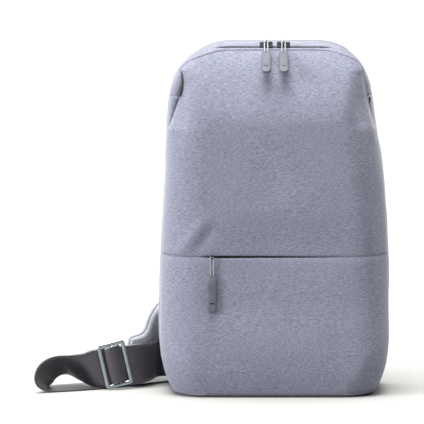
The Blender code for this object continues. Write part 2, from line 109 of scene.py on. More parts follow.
class Look:
    """A Principled material built node by node."""

    def __init__(self, name, roughness=0.5, metallic=0.0, sheen=0.0, specular=0.5):
        self.material = bpy.data.materials.new(name)
        self.material.use_nodes = True
        self.tree = self.material.node_tree
        self.shader = self.tree.nodes["Principled BSDF"]
        self.shader.inputs["Roughness"].default_value = roughness
        self.shader.inputs["Metallic"].default_value = metallic
        self.shader.inputs["Sheen Weight"].default_value = sheen
        self.shader.inputs["Specular IOR Level"].default_value = specular

    def node(self, kind, settings=None, **sockets):
        """A node whose inputs are constants or other nodes' outputs; returns its first output."""
        made = self.tree.nodes.new("ShaderNode" + kind)
        for key, value in (settings or {}).items():
            setattr(made, key, value)
        for key, value in sockets.items():
            self.plug(made.inputs[int(key[1:])] if key[1:].isdigit() else made.inputs[key.replace("_", " ")], value)
        return made.outputs[0]

    def plug(self, socket, value):
        if isinstance(value, bpy.types.NodeSocket):
            self.tree.links.new(value, socket)
        else:
            socket.default_value = value

    def at(self, space="Object"):
        made = self.tree.nodes.new("ShaderNodeTexCoord")
        return made.outputs[space]

    def noise(self, where, scale, stretch=(1, 1, 1), detail=2.0, shift=(0, 0, 0)):
        placed = self.node("Mapping", Vector=where, Scale=stretch, Location=shift)
        return self.node("TexNoise", Vector=placed, Scale=scale, Detail=detail)

    def bands(self, where, spacing, axis, distortion=0.0):
        return self.node("TexWave", {"bands_direction": axis}, Vector=where, Scale=2 * pi / 20 / spacing,
                         Distortion=distortion, Detail=1.0)

    def maths(self, kind, first, second):
        return self.node("Math", {"operation": kind}, _0=first, _1=second)

    def weigh(self, first, share, second, other):
        """Two values added, each times its share."""
        return self.maths("ADD", self.maths("MULTIPLY", first, share), self.maths("MULTIPLY", second, other))

    def ramp(self, value, stops):
        made = self.tree.nodes.new("ShaderNodeValToRGB")
        self.plug(made.inputs[0], value)
        elements = made.color_ramp.elements
        while len(elements) < len(stops):
            elements.new(0.5)
        for element, (place, colour) in zip(elements, stops):
            element.position = place
            element.color = (*colour, 1)
        return made.outputs[0]

    def mix(self, share, first, second, kind="MIX"):
        made = self.tree.nodes.new("ShaderNodeMix")
        made.data_type = "RGBA"
        made.blend_type = kind
        self.plug(made.inputs[0], share)
        self.plug(made.inputs[6], first)
        self.plug(made.inputs[7], second)
        return made.outputs[2]

    def colour(self, value):
        self.plug(self.shader.inputs["Base Color"], value)
        return self

    def rough(self, value, low, high):
        self.plug(self.shader.inputs["Roughness"],
                  self.node("MapRange", Value=value, To_Min=low, To_Max=high))
        return self

    def bump(self, height, distance, strength=1.0):
        made = self.tree.nodes.new("ShaderNodeBump")
        made.inputs["Strength"].default_value = strength
        made.inputs["Distance"].default_value = distance
        self.plug(made.inputs["Height"], height)
        self.plug(self.shader.inputs["Normal"], made.outputs[0])
        return self


def heather(name, dark, light, shift=0.0, sheen=0.28):
    """Melange polyester: short level streaks of two yarns, a fine weave and slow changes of tone."""
    look = Look(name, 0.88, sheen=sheen, specular=0.2)
    where = look.at()
    streak = look.noise(where, 300, (1, 1, 5.0), 3.0, (shift, shift, 0))
    fleck = look.noise(where, 1000, (1, 1, 2.6), 1.0, (0, shift, shift))
    tone = look.noise(where, 16, (1, 1, 1.4), 2.0, (shift, 0, shift))
    yarn = look.weigh(streak, 0.62, fleck, 0.38)
    middle = tuple((a + b) / 2 for a, b in zip(dark, light))
    base = look.ramp(yarn, [(0.34, dark), (0.50, middle), (0.66, light)])
    shade = look.ramp(tone, [(0.25, (0.90, 0.90, 0.91)), (0.75, (1.0, 1.0, 1.0))])
    look.colour(look.mix(1.0, base, shade, "MULTIPLY"))
    weave = look.maths("ADD", look.bands(where, 0.0009, "Z"), look.bands(where, 0.0009, "X"))
    height = look.maths("ADD", look.maths("MULTIPLY", weave, 0.3), yarn)
    return look.bump(height, 0.00025, 0.6).material


def spacer_mesh(name, thread, hole_shade):
    """Open knitted mesh over foam: rounded cells, with painted shade darkening the holes between them."""
    look = Look(name, 0.85, sheen=0.2, specular=0.25)
    where = look.at()
    cells = look.node("TexVoronoi", {"feature": "SMOOTH_F1"}, Vector=where, Scale=420.0, Smoothness=0.3,
                      Randomness=0.45)
    soft = look.noise(where, 30, (1, 1, 1), 2.0)
    # The holes get a darker colour: painted shade in the mesh's openings
    knit = look.ramp(cells, [(0.12, hole_shade), (0.34, thread)])
    shade = look.ramp(soft, [(0.3, (0.84, 0.85, 0.86)), (0.7, (1, 1, 1))])
    look.colour(look.mix(1.0, knit, shade, "MULTIPLY"))
    return look.bump(cells, 0.0006, 0.7).material


def ribbed(name, dark, light, rib=0.0024):
    """Satin webbing: ribs along its length, fine picks across it. Reads lengths in metres from the UV map."""
    look = Look(name, 0.36, sheen=0.15, specular=0.8)
    where = look.at("UV")
    ribs = look.bands(where, rib, "Y", 0.15)
    picks = look.bands(where, 0.0011, "X", 0.3)
    wear = look.noise(where, 55, (0.4, 1, 1), 3.0)
    height = look.maths("ADD", ribs, look.maths("MULTIPLY", picks, 0.35))
    pattern = look.weigh(height, 0.45, wear, 0.5)
    look.colour(look.ramp(pattern, [(0.2, dark), (0.85, light)]))
    look.rough(wear, 0.28, 0.44)
    return look.bump(height, 0.0003, 0.45).material


def lining_cloth(name, dark, light):
    """Thin lining with a small diamond grid in it."""
    look = Look(name, 0.6, sheen=0.15, specular=0.3)
    where = look.at()
    grid = look.maths("MAXIMUM", look.bands(where, 0.0042, "X"), look.bands(where, 0.0042, "Z"))
    soft = look.noise(where, 60, (1, 1, 1), 3.0)
    value = look.weigh(grid, 0.5, soft, 0.5)
    look.colour(look.ramp(value, [(0.3, dark), (0.9, light)]))
    return look.bump(value, 0.0003, 0.5).material


def metal(name, colour, low, high, grain=(1, 1, 1), worn=None):
    """Metal with fine brushed grain, smudges and, where given, a worn colour on patches."""
    look = Look(name, 0.3, metallic=1.0)
    where = look.at()
    brushed = look.noise(where, 900, grain, 2.0)
    smudge = look.noise(where, 130, (1, 1, 1), 3.0)
    dim = tuple(c * 0.82 for c in colour)
    tint = look.ramp(smudge, [(0.3, dim), (0.7, colour if worn is None else worn)])
    look.colour(tint)
    look.rough(smudge, low, high)
    return look.bump(brushed, 0.00004, 0.35).material


def moulded(name, dark, light, rough=0.55):
    """Matt moulded rubber or plastic with a fine sandy skin."""
    look = Look(name, rough, specular=0.35)
    where = look.at()
    sand = look.noise(where, 1500, (1, 1, 1), 2.0)
    patch = look.noise(where, 120, (1, 1, 1), 2.0)
    look.colour(look.ramp(patch, [(0.3, dark), (0.7, light)]))
    look.rough(patch, rough - 0.08, rough + 0.1)
    return look.bump(sand, 0.00012, 0.5).material


def taped(name, dark, light, pick=0.0008):
    """Narrow woven tape or thread: a fine twill."""
    look = Look(name, 0.75, sheen=0.2, specular=0.3)
    where = look.at()
    twill = look.node("TexWave", {"bands_direction": "DIAGONAL"}, Vector=where, Scale=2 * pi / 20 / pick,
                      Distortion=0.4, Detail=1.0)
    patch = look.noise(where, 200, (1, 1, 1), 2.0)
    value = look.weigh(twill, 0.5, patch, 0.5)
    look.colour(look.ramp(value, [(0.3, dark), (0.8, light)]))
    return look.bump(twill, 0.0002, 0.6).material


SHELL = heather("heather_shell", (0.099, 0.105, 0.155), (0.260, 0.271, 0.343))
# The gussets' cloth is the shell's heather made a little darker: painted shade on the sides and top
SHADED_GUSSET = heather("heather_gusset_shaded", (0.095, 0.101, 0.150), (0.245, 0.255, 0.322), 3.7)
# The hem's cloth is the shell's heather made a little lighter: a painted highlight along the hem beside the zip
HIGHLIT_BAND = heather("heather_band_highlit", (0.108, 0.114, 0.160), (0.272, 0.282, 0.345), 7.1)
BASE = heather("base_weave", (0.060, 0.055, 0.085), (0.150, 0.140, 0.190), 1.9, 0.1)
LINING = lining_cloth("grey_lining", (0.16, 0.165, 0.19), (0.27, 0.275, 0.31))
MESH = spacer_mesh("back_mesh", (0.37, 0.38, 0.425), (0.20, 0.205, 0.235))
EDGING = taped("edge_binding", (0.19, 0.197, 0.225), (0.28, 0.29, 0.325))
TAPE = taped("zip_tape_weave", (0.010, 0.010, 0.013), (0.030, 0.030, 0.036))
COIL = moulded("zip_coil", (0.018, 0.018, 0.022), (0.04, 0.04, 0.046), 0.4)
THREAD = taped("sewing_thread", (0.20, 0.205, 0.28), (0.36, 0.37, 0.45), 0.0005)
DARK_THREAD = taped("dark_thread", (0.03, 0.03, 0.035), (0.08, 0.08, 0.09), 0.0005)
STRAP = ribbed("strap_weave", (0.012, 0.010, 0.016), (0.034, 0.030, 0.042))
SLIDER = metal("black_slider", (0.010, 0.010, 0.012), 0.34, 0.52, worn=(0.022, 0.022, 0.025))
STEEL = metal("bright_wire", (0.40, 0.415, 0.43), 0.34, 0.50, (1, 1, 0.1))
FRAME_STEEL = metal("adjuster_steel", (0.37, 0.425, 0.445), 0.26, 0.42, (1, 1, 0.15))
RUBBER = moulded("pull_sheath_rubber", (0.076, 0.083, 0.104), (0.106, 0.114, 0.140))
BOARD = moulded("stiffener_board", (0.52, 0.52, 0.50), (0.62, 0.62, 0.60), 0.6)


# Helpers

def clamp(value, low=0.0, high=1.0):
    return min(high, max(low, value))


def ease(value, low=0.0, high=1.0):
    t = clamp((value - low) / (high - low))
    return t * t * (3 - 2 * t)


def arc(centre, radius, start, end, steps):
    turns = [radians(start + (end - start) * i / steps) for i in range(steps + 1)]
    return [(centre[0] + radius * cos(a), centre[1] + radius * sin(a)) for a in turns]


def smooth(points, share):
    """A point on the smooth curve through points, share going from 0 to 1 (Catmull-Rom)."""
    span = clamp(share) * (len(points) - 1)
    i = min(int(span), len(points) - 2)
    t = span - i
    p1, p2 = Vector(points[i]), Vector(points[i + 1])
    p0 = Vector(points[i - 1]) if i > 0 else 2 * p1 - p2
    p3 = Vector(points[i + 2]) if i + 2 < len(points) else 2 * p2 - p1
    bend = (2 * p0 - 5 * p1 + 4 * p2 - p3) * t ** 2 + (3 * p1 - p0 - 3 * p2 + p3) * t ** 3
    return p1 + ((p2 - p0) * t + bend) / 2


def even(path, spacing):
    """The path's points again, evenly spaced."""
    path = [Vector(p) for p in path]
    gone = [0.0]
    for a, b in zip(path, path[1:]):
        gone.append(gone[-1] + (b - a).length)
    count = max(2, round(gone[-1] / spacing))
    out, i = [], 0
    for k in range(count + 1):
        want = gone[-1] * k / count
        while i < len(gone) - 2 and gone[i + 1] < want:
            i += 1
        out.append(path[i].lerp(path[i + 1], (want - gone[i]) / max(1e-9, gone[i + 1] - gone[i])))
    return out


def mesh_piece(name, points, faces, looks, marks=None, uvs=None, is_smooth=True):
    """A mesh object from points and faces; marks are the faces' material numbers."""
    mesh = bpy.data.meshes.new(name)
    mesh.from_pydata([tuple(p) for p in points], [], faces)
    for look in looks:
        mesh.materials.append(look)
    if marks is not None:
        mesh.polygons.foreach_set("material_index", marks)
    if uvs is not None:
        layer = mesh.uv_layers.new(name="UVMap")
        corners = np.zeros(len(mesh.loops), int)
        mesh.loops.foreach_get("vertex_index", corners)
        layer.data.foreach_set("uv", np.array(uvs, np.float32)[corners].ravel())
    if is_smooth:
        mesh.shade_smooth()
    mesh.update()
    piece = bpy.data.objects.new(name, mesh)
    bpy.context.scene.collection.objects.link(piece)
    return piece


def grid_normals(points):
    """Unit normals of a grid of points, rows along v and columns along u; u x v faces out."""
    along_u = np.gradient(points, axis=1)
    along_v = np.gradient(points, axis=0)
    normal = np.cross(along_u, along_v)
    length = np.linalg.norm(normal, axis=2, keepdims=True)
    return normal / np.maximum(length, 1e-12)


def placed_grid(across, up, place):
    return np.array([[tuple(place(i / across, j / up)) for i in range(across + 1)] for j in range(up + 1)])


def two_sided(across, up):
    """Faces of a closed sheet, whose grid of outer points is followed by its inner ones, and the rim's points."""
    count, wide = (across + 1) * (up + 1), across + 1
    faces = []
    for j in range(up):
        for i in range(across):
            a = j * wide + i
            b = a + count
            faces += [(a, a + 1, a + wide + 1, a + wide), (b, b + wide, b + wide + 1, b + 1)]
    rim = (list(range(wide)) + [j * wide + across for j in range(1, up + 1)]
           + [up * wide + i for i in range(across - 1, -1, -1)] + [j * wide for j in range(up - 1, 0, -1)])
    faces += [(b, a, a + count, b + count) for a, b in zip(rim, rim[1:] + rim[:1])]
    return faces, rim


def cloth(name, across, up, place, thick, looks, size=None, centred=False):
    """A closed piece of cloth over a placed grid: outer face, inner face and edges.
    looks are the outer and inner materials. size gives the UV map's (u, v) lengths in metres."""
    points = placed_grid(across, up, place)
    normal = grid_normals(points)
    if centred:
        points = points + normal * thick / 2
    both = np.concatenate([points.reshape(-1, 3), (points - normal * thick).reshape(-1, 3)])
    faces, rim = two_sided(across, up)
    marks = [0, len(looks) - 1] * (across * up) + [0] * len(rim)
    uvs = None
    if size is not None:
        uvs = [(size[0] * i / across, size[1] * j / up) for j in range(up + 1) for i in range(across + 1)] * 2
    return mesh_piece(name, both, faces, looks, marks, uvs)


def tube(path, radius, sides=8, closed=False, flat=None):
    """Points and faces of a tube along a path; flat is (direction, share) to squeeze it along a direction."""
    path = [Vector(p) for p in path]
    n = len(path)
    points, faces = [], []
    frame_side = None
    for i, at in enumerate(path):
        before = path[i - 1] if (i > 0 or closed) else at
        after = path[(i + 1) % n] if (i < n - 1 or closed) else at
        ahead = (after - before).normalized()
        if frame_side is None:
            guess = Vector((0, 0, 1)) if abs(ahead.z) < 0.9 else Vector((1, 0, 0))
            frame_side = ahead.cross(guess).normalized()
        frame_side = (frame_side - ahead * frame_side.dot(ahead)).normalized()
        up = ahead.cross(frame_side)
        size = radius(i / max(1, n - 1)) if callable(radius) else radius
        for k in range(sides):
            a = 2 * pi * k / sides
            offset = (frame_side * cos(a) + up * sin(a)) * size
            if flat:
                offset -= flat[0] * offset.dot(flat[0]) * (1 - flat[1])
            points.append(at + offset)
    rings = n if closed else n - 1
    for i in range(rings):
        for k in range(sides):
            a, b = i * sides + k, i * sides + (k + 1) % sides
            c, d = ((i + 1) % n) * sides + (k + 1) % sides, ((i + 1) % n) * sides + k
            faces.append((a, d, c, b))
    if not closed:
        faces.append(tuple(range(sides)))
        faces.append(tuple(range((n - 1) * sides + sides - 1, (n - 1) * sides - 1, -1)))
    return points, faces


def ring_faces(rings, sides):
    """Faces between closed rings of points, one after another."""
    return [(j * sides + k, j * sides + (k + 1) % sides, (j + 1) * sides + (k + 1) % sides, (j + 1) * sides + k)
            for j in range(rings - 1) for k in range(sides)]


def gathered(name, parts, look):
    """One piece from several (points, faces)."""
    points, faces = [], []
    for some, their in parts:
        base = len(points)
        points += list(some)
        faces += [tuple(base + k for k in face) for face in their]
    return mesh_piece(name, points, faces, [look])


def seam(path, normals, stitch=0.0026, gap=0.0009, thread=0.00024, rise=0.0001):
    """Parts for one line of stitches lying on a surface: each dips in at both ends."""
    spaced = even(path, stitch + gap)
    parts = []
    for a, b in zip(spaced, spaced[1:]):
        normal = normals(a.lerp(b, 0.5))
        ahead = b - a
        start, end = a + ahead * 0.06, a + ahead * (stitch / (stitch + gap) + 0.02)
        points = [start - normal * thread * 1.6, start + normal * rise + ahead * 0.10,
                  start.lerp(end, 0.5) + normal * (rise + thread * 0.35),
                  end + normal * rise - ahead * 0.10, end - normal * thread * 1.6]
        parts.append(tube(points, thread, 5))
    return parts


def attach(piece, body, slot, *nodes):
    """Rides a piece on a body, or, where body is None, bakes its placement into its mesh and leaves it in place;
    nodes are the CAD nodes it stands for.
    """
    if body is None:
        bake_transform(piece)
    else:
        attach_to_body(piece, body)
    if nodes:
        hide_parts(*nodes)


def add(name, parts, look, body, slot, *nodes):
    attach(gathered(name, parts, look), body, slot, *nodes)


def dress(look, *names):
    """Gives kept CAD nodes a detailed material."""
    for name in names:
        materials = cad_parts[name].data.materials
        materials.clear()
        materials.append(look)


def nearest_normal(line, normals):
    """The normal of whichever of the line's points is nearest."""
    table = np.array(line)

    def normal(at):
        return normals[int(np.argmin(((table - np.array(at)) ** 2).sum(1)))]
    return normal


def stitched(name, line, normals, body="bag"):
    """A line of thread in the heather cloth."""
    add(name, seam(line, nearest_normal(line, normals)), THREAD, body, "heather_cloth")


# The body's form

def half_width(z):
    """Half the silhouette's width."""
    if z < WIDEST_Z:
        return HALF_WIDTH - BASE_TUCK * (1 - z / WIDEST_Z) ** 2.7
    if z <= SHOULDER_Z:
        return HALF_WIDTH - TAPER * (z - WIDEST_Z) ** 2
    edge = HALF_WIDTH - TAPER * (SHOULDER_Z - WIDEST_Z) ** 2
    rise = min(1.0, (z - SHOULDER_Z) / (HEIGHT - SHOULDER_Z))
    return TOP_HALF + (edge - TOP_HALF) * (1 - rise ** SHOULDER_POWER) ** (1 / SHOULDER_POWER)


def inset(x, z):
    """How far the front is pinched in beside the zip's two slits."""
    deep = PINCH_LEFT if x < 0 else PINCH_RIGHT
    return deep * clamp((z - 0.279) / 0.040) ** 0.75 * (1 - clamp((z - 0.322) / 0.0175) ** 2.2)


def front_half(x, z):
    """Half the front's width, on the side that x is on."""
    return half_width(z) - inset(x, z)


def tuck(x, z):
    """How much narrower the shoulders are at the back than at the zip."""
    deep = TUCK_DEEP * ease(z, 0.300, 0.330) * (1 - 0.4 * ease(z, 0.345, 0.362))
    return deep * clamp((abs(x) - TOP_HALF) / 0.012)


def front_y(x, z):
    """The front's surface: it rounds off at its sides, leans back at the top and tucks in at its foot."""
    out = clamp((abs(x) - front_half(x, z) + EDGE_WIDE) / EDGE_WIDE)
    side = EDGE_DEEP * (1 - sqrt(1 - out * out))
    rise = clamp((z - LEAN_Z) / (HEIGHT - LEAN_Z))
    lean = LEAN_DEEP * (1 - (1 - rise ** LEAN_POWER) ** (1 / LEAN_POWER))
    foot = FOOT_TUCK * max(0.0, 1 - z / FOOT_Z) ** 2
    return FRONT_Y + foot + min(LEAN_DEEP, (side ** 3 + lean ** 3) ** (1 / 3))


def gap_beside(z):
    """The open width between the front's cloth and the gusset's: a slit low down, then closed round the corner."""
    return 0.0004 * ease(z, 0.309, 0.313) * (1 - ease(z, 0.330, 0.338)) + 0.0009 * ease(z, 0.3585, 0.3618)


def sway(z):
    """The filled pack leans a little to the left below its top."""
    return -SWAY_WIDE * ease(z, 0.215, 0.310) * (1 - ease(z, 0.330, 0.365))


def over_the_top(u, low):
    """A point of the silhouette, from the right side at a low height over the top to the left."""
    share = 2 * u - 1
    flat = 0.2
    if abs(share) <= flat:
        return -TOP_HALF * share / flat, HEIGHT
    turn = (1 - abs(share)) / (1 - flat) * pi / 2
    z = low + (HEIGHT - low) * sin(turn)
    return half_width(z) * (-1 if share > 0 else 1), z


def outward(x, z):
    """The unit direction out of the body, square to the silhouette."""
    if z >= HEIGHT - 1e-9 and abs(x) <= TOP_HALF:
        return Vector((0, 0, 1))
    step = 0.0005
    slope = (half_width(z) - half_width(z - step)) / step
    out = Vector((1, 0, -slope)).normalized()
    return Vector((out.x * (1 if x > 0 else -1), 0, out.z))


def ridge(x, z, start, end, wide):
    """1 on a line between two points, falling off to each side and past its ends."""
    ax, az, bx, bz = *start, *end
    dx, dz = bx - ax, bz - az
    t = clamp(((x - ax) * dx + (z - az) * dz) / (dx * dx + dz * dz))
    away = (x - ax - dx * t) ** 2 + (z - az - dz * t) ** 2
    return exp(-away / wide ** 2) * (0.35 + 0.65 * sin(pi * clamp(0.1 + 0.8 * t)))


# Folds and drag lines of the front: height, start, end, half width
FOLDS = [
    (0.0016, (-0.098, 0.152), (-0.072, 0.186), 0.0060), (-0.0012, (-0.084, 0.150), (-0.064, 0.176), 0.0050),
    (0.0011, (0.098, 0.165), (0.084, 0.205), 0.0070), (-0.0024, (0.088, 0.330), (0.093, 0.290), 0.0075),
    (0.0014, (0.100, 0.318), (0.104, 0.270), 0.0050), (-0.0016, (-0.088, 0.322), (-0.096, 0.270), 0.0070),
    (0.0016, (-0.0975, 0.330), (-0.104, 0.285), 0.0042), (0.0012, (-0.108, 0.050), (-0.082, 0.020), 0.0080),
    (-0.0010, (-0.096, 0.055), (-0.070, 0.024), 0.0060), (0.0010, (0.105, 0.060), (0.085, 0.022), 0.0080),
]
FILL_ABOVE, FILL_BELOW = 0.0046, 0.0036  # how far the filled front swells above and below the pocket's slit
SEAM_DRAG = 0.0009  # how far the pocket's seam is drawn in


def relief(x, z):
    """How far the front's cloth stands out of the frame's surface: its fill, slack folds and drag lines."""
    half = front_half(x, z)
    middle = max(0.0, 1 - (x / half) ** 2)
    free = clamp((FLAP_EDGE_Z - z) / 0.012) * ease(half - abs(x), 0.0002, 0.0060)
    if z > POCKET_Z:
        fill = FILL_ABOVE * middle * ease(z, POCKET_Z, 0.20) * (1 - ease(z, 0.265, 0.345))
    else:
        # Flatter where the pocket's pull travels
        travel = ease(x, -0.110, -0.088) * (1 - ease(x, 0.088, 0.110)) * ease(z, 0.055, 0.10)
        fill = FILL_BELOW * middle * ease(z, 0.006, 0.05) * (1 - ease(z, 0.115, POCKET_Z)) * (1 - 0.75 * travel)
    soft = noise.noise(Vector((x * 13, z * 6.5, 4.2))) * 0.0011
    soft += noise.noise(Vector((x * 34, z * 15, 9.1))) * 0.00045
    soft *= ease(z, 0.004, 0.02)
    folds = sum(height * ridge(x, z, start, end, wide) for height, start, end, wide in FOLDS)
    drag = -SEAM_DRAG * exp(-((z - POCKET_Z) / 0.0032) ** 2) * ease(half - abs(x), 0.0002, 0.0060)
    return (fill + soft + folds) * free + drag


def front_point(x, z):
    """A point of the front's cloth and its normal."""
    step = 1e-5
    slope_x = (front_y(x + step, z) - front_y(x - step, z)) / (2 * step)
    slope_z = (front_y(x, z + step) - front_y(x, z - step)) / (2 * step)
    normal = Vector((slope_x, -1, slope_z)).normalized()
    return Vector((x + sway(z), front_y(x, z), z)) + normal * relief(x, z), normal


def across_front(u, z):
    """The X at a share u of the width, closer together where the edges round off."""
    share = 2 * u - 1
    middle = front_half(share, z) - EDGE_WIDE
    flat = 0.55
    if abs(share) <= flat:
        return middle * share / flat
    turn = (abs(share) - flat) / (1 - flat) * radians(89)
    return (middle + EDGE_WIDE * sin(turn)) * (1 if share > 0 else -1)


# Front of the body

POCKET_OPEN = 0.00115
COIL_WIRE = 0.00026
COIL_TURN = 6  # points in one turn of a coil
ZIP_LOOPS, POCKET_LOOPS = 300, 120


def pocket_gap(x):
    """Half the slit's opening: widest near the slider, sewn shut past its ends."""
    if not POCKET_LEFT < x < POCKET_RIGHT:
        return SEWN_SHUT
    rise = clamp((x - POCKET_LEFT) / 0.022)
    fall = clamp((POCKET_RIGHT - x) / 0.115)
    return SEWN_SHUT + POCKET_OPEN * sqrt(rise) * fall ** 0.6


def lower_front(u, v):
    low = SHELL_FOOT_Z - 0.0016
    high = POCKET_Z - pocket_gap(across_front(u, POCKET_Z))
    z = low + (high - low) * v
    return front_point(across_front(u, z), z)[0]


def upper_front(u, v):
    low = POCKET_Z + pocket_gap(across_front(u, POCKET_Z))
    share = 0.56  # of the rows lie below the lean
    if v < share:
        z = low + (LEAN_Z - low) * v / share
    else:
        end = asin((FLAP_EDGE_Z - LEAN_Z) / (HEIGHT - LEAN_Z))
        z = LEAN_Z + (HEIGHT - LEAN_Z) * sin(end * (v - share) / (1 - share))
    return front_point(across_front(u, z), z)[0]


piece = cloth("front_lower_cloth", 132, 84, lower_front, CLOTH, [SHELL, LINING])
attach(piece, "bag", "heather_cloth", "front_panel_lower")
piece = cloth("front_upper_cloth", 132, 150, upper_front, CLOTH, [SHELL, LINING])
attach(piece, None, "heather_cloth", "front_panel_upper", "front_flap")


# Sides and top

def gusset_at(x, z, t):
    """A point of the gusset: t goes from the front's edge to the back panel."""
    sign = 1 if x > 0 else -1
    pull_in = inset(x, z)
    at_edge = abs(x) - pull_in
    start = front_y(at_edge, min(z, HEIGHT - 1e-6)) + 0.0003 + gap_beside(z)
    end = PANEL_Y + 0.0042
    y = start + (end - start) * t
    roll = clamp((y - start) / 0.016)
    along = at_edge + pull_in * sqrt(1 - (1 - roll) ** 2)
    point = Vector((sign * (along - tuck(x, z) * t) + sway(z), y, z))
    out = outward(x, z)
    swell = 0.0016 * sin(pi * t) ** 1.5
    near_edge = min(1.0, t * 9, (1 - t) * 9)
    swell += near_edge * (0.0010 * noise.noise(Vector((x * 20, y * 28, z * 16)))
                          + 0.0006 * noise.noise(Vector((x * 45, y * 60, z * 40))))
    if z < SLIT_Z:
        hollow = exp(-((t - 0.42) / 0.10) ** 2) * ease(z, 0.02, 0.10) * (1 - ease(z, 0.22, 0.31))
        swell -= 0.0014 * near_edge * hollow
    turned = -0.0010 * exp(-(y - start) / 0.0009)
    return point + out * (swell + turned)


for side, sign in (("right", 1), ("left", -1)):
    def side_gusset(u, v, sign=sign):
        low = SHELL_FOOT_Z - 0.0016
        z = low + (SLIT_Z - low) * (1 - u if sign > 0 else u)
        return gusset_at(sign * half_width(z), z, v)
    piece = cloth("side_gusset_cloth_" + side, 120, 40, side_gusset, CLOTH, [SHADED_GUSSET, LINING])
    attach(piece, "bag", "heather_cloth", "side_gusset_" + side)


def top_gusset(u, v):
    x, z = over_the_top(1 - u, SLIT_Z)
    return gusset_at(x, z, v)


piece = cloth("top_gusset_cloth", 150, 40, top_gusset, CLOTH, [SHADED_GUSSET, LINING])
attach(piece, "bag", "heather_cloth", "top_gusset")


# Base: a dark woven panel with a corded edge

def base_outline(grow, steps=10):
    """The base's outline, rounder at the front corners than at the back."""
    half, low, high = half_width(0) + grow, FRONT_Y + FOOT_TUCK - grow, BACK_Y + grow
    front, back = 0.034 + grow, 0.012 + grow
    points = []
    for centre, radius, start in (((half - front, low + front), front, -90), ((half - back, high - back), back, 0),
                                  ((back - half, high - back), back, 90), ((front - half, low + front), front, 180)):
        points += arc(centre, radius, start, start + 90, steps)
    return points


# Rings of the base from its top inner edge, round its side, to the middle of its underside: growth, height
BASE_RINGS = [(-0.0100, 0.0036), (-0.0030, 0.0040), (-0.0006, 0.0034), (0.0, 0.0022), (-0.0006, 0.0009),
              (-0.0026, 0.0002), (-0.0120, 0.0), (-0.030, 0.0006)]
rings = [[(x, y, z) for x, y in base_outline(grow)] for grow, z in BASE_RINGS]
count = len(rings[0])
points = [p for ring in rings for p in ring]
faces = [face[::-1] for face in ring_faces(len(rings), count)]
faces += [tuple(range(count)), tuple(range(len(points) - 1, len(points) - count - 1, -1))]
attach(mesh_piece("base_cloth", points, faces, [BASE]), "bag", "base_cloth", "base_panel")
piping = [Vector((x, y, 0.0036)) for x, y in base_outline(-0.0002, 14)]
add("base_edge_cord", [tube(even(piping + [piping[0]], 0.003)[:-1], 0.0011, 8, True)], EDGING, "bag", "base_cloth")


# Main zip: a woven tape and a coil on each side, with stitched cloth edges

def edge_height(z):
    """The height of the cloth's edge below the top's outline."""
    return z - (HEIGHT - FLAP_EDGE_Z) * ease(z, 0.346, HEIGHT)


def front_edge(u):
    """The front cloth's edge beside the zip and its normal."""
    x, z = over_the_top(u, ZIP_FOOT_Z)
    z = edge_height(z)
    sign = 1 if x > 0 else -1
    limit = front_half(x, z) - 0.00005
    return front_point(sign * min(abs(x), limit), z)


def rear_edge(u):
    x, z = over_the_top(u, ZIP_FOOT_Z)
    out = outward(x, z)
    return gusset_at(x, z, 0.0) + out * 0.0010, out


def zip_cross(u, share):
    """A point of the zip's floor between the two cloth edges; 0 and 1 are the edges, past them is under the cloth."""
    (a, a_normal), (b, b_out) = front_edge(u), rear_edge(u)
    normal = (a_normal + b_out).normalized()
    ahead = b - a
    if ahead.length < 0.0016:
        ahead = ahead.normalized() * 0.0016
        middle = (a + b) / 2
        a, b = middle - ahead / 2, middle + ahead / 2
    at = a.lerp(b, share)
    if share < 0:
        at = a + (ahead.normalized() * 0.0040 - a_normal * 0.0006) * share
    elif share > 1:
        at = b + (ahead.normalized() * 0.0040 - b_out * 0.0006) * (share - 1)
    return at - normal * 0.0016, normal


for part, low, high, side, body in (("front", -1.0, 0.5, 1, None), ("rear", 0.5, 2.0, -1, "bag")):
    def tape(u, v, low=low, high=high):
        return zip_cross(1 - u, low + (high - low) * v)[0]
    piece = cloth("zip_tape_" + part, 170, 6, tape, 0.0007, [TAPE], (0.42, 0.006))
    coil = []
    for i in range(ZIP_LOOPS * COIL_TURN + 1):
        u = i / (ZIP_LOOPS * COIL_TURN)
        at, normal = zip_cross(1 - u, 0.5)
        ahead = (zip_cross(min(1, 1.002 - u), 0.5)[0] - zip_cross(max(0, 0.998 - u), 0.5)[0]).normalized()
        cross = ahead.cross(normal) * side
        a = 2 * pi * i / COIL_TURN
        coil.append(at + normal * (0.0006 + 0.0005 * sin(a)) + cross * (0.0006 + 0.0008 * cos(a)))
    attach(piece, body, "zip_tape", "main_zip_" + part + "_tape")
    add("zip_coil_" + part, [tube(coil, COIL_WIRE, 4)], COIL, body, "zip_tape")


def inside_edge(u, depth):
    """A point of the front's cloth at a depth in from its edge, measured along the cloth."""
    x, z = over_the_top(u, ZIP_FOOT_Z)
    start, _ = front_edge(u)
    inward = -outward(x, z)
    near_z = edge_height(z)
    near_x = start.x - sway(near_z)
    low, high = 0.0, 0.03
    for _ in range(14):
        middle = (low + high) / 2
        at, _ = front_point(near_x + inward.x * middle, near_z + inward.z * middle)
        if (at - start).length < depth:
            low = middle
        else:
            high = middle
    return front_point(near_x + inward.x * low, near_z + inward.z * low)


HEM_WIDE, HEM_STITCH = 0.0042, 0.0030  # stitch: how far in from the cloth's edge


def band(u, v):
    """The folded hem beside the zip, a little proud of the cloth."""
    depth = 0.0003 + HEM_WIDE * (1 - v)
    at, normal = inside_edge(1 - u, depth)
    return at + normal * (0.0007 * min(1.0, v * 6, (1 - v) * 8) + 0.00005)


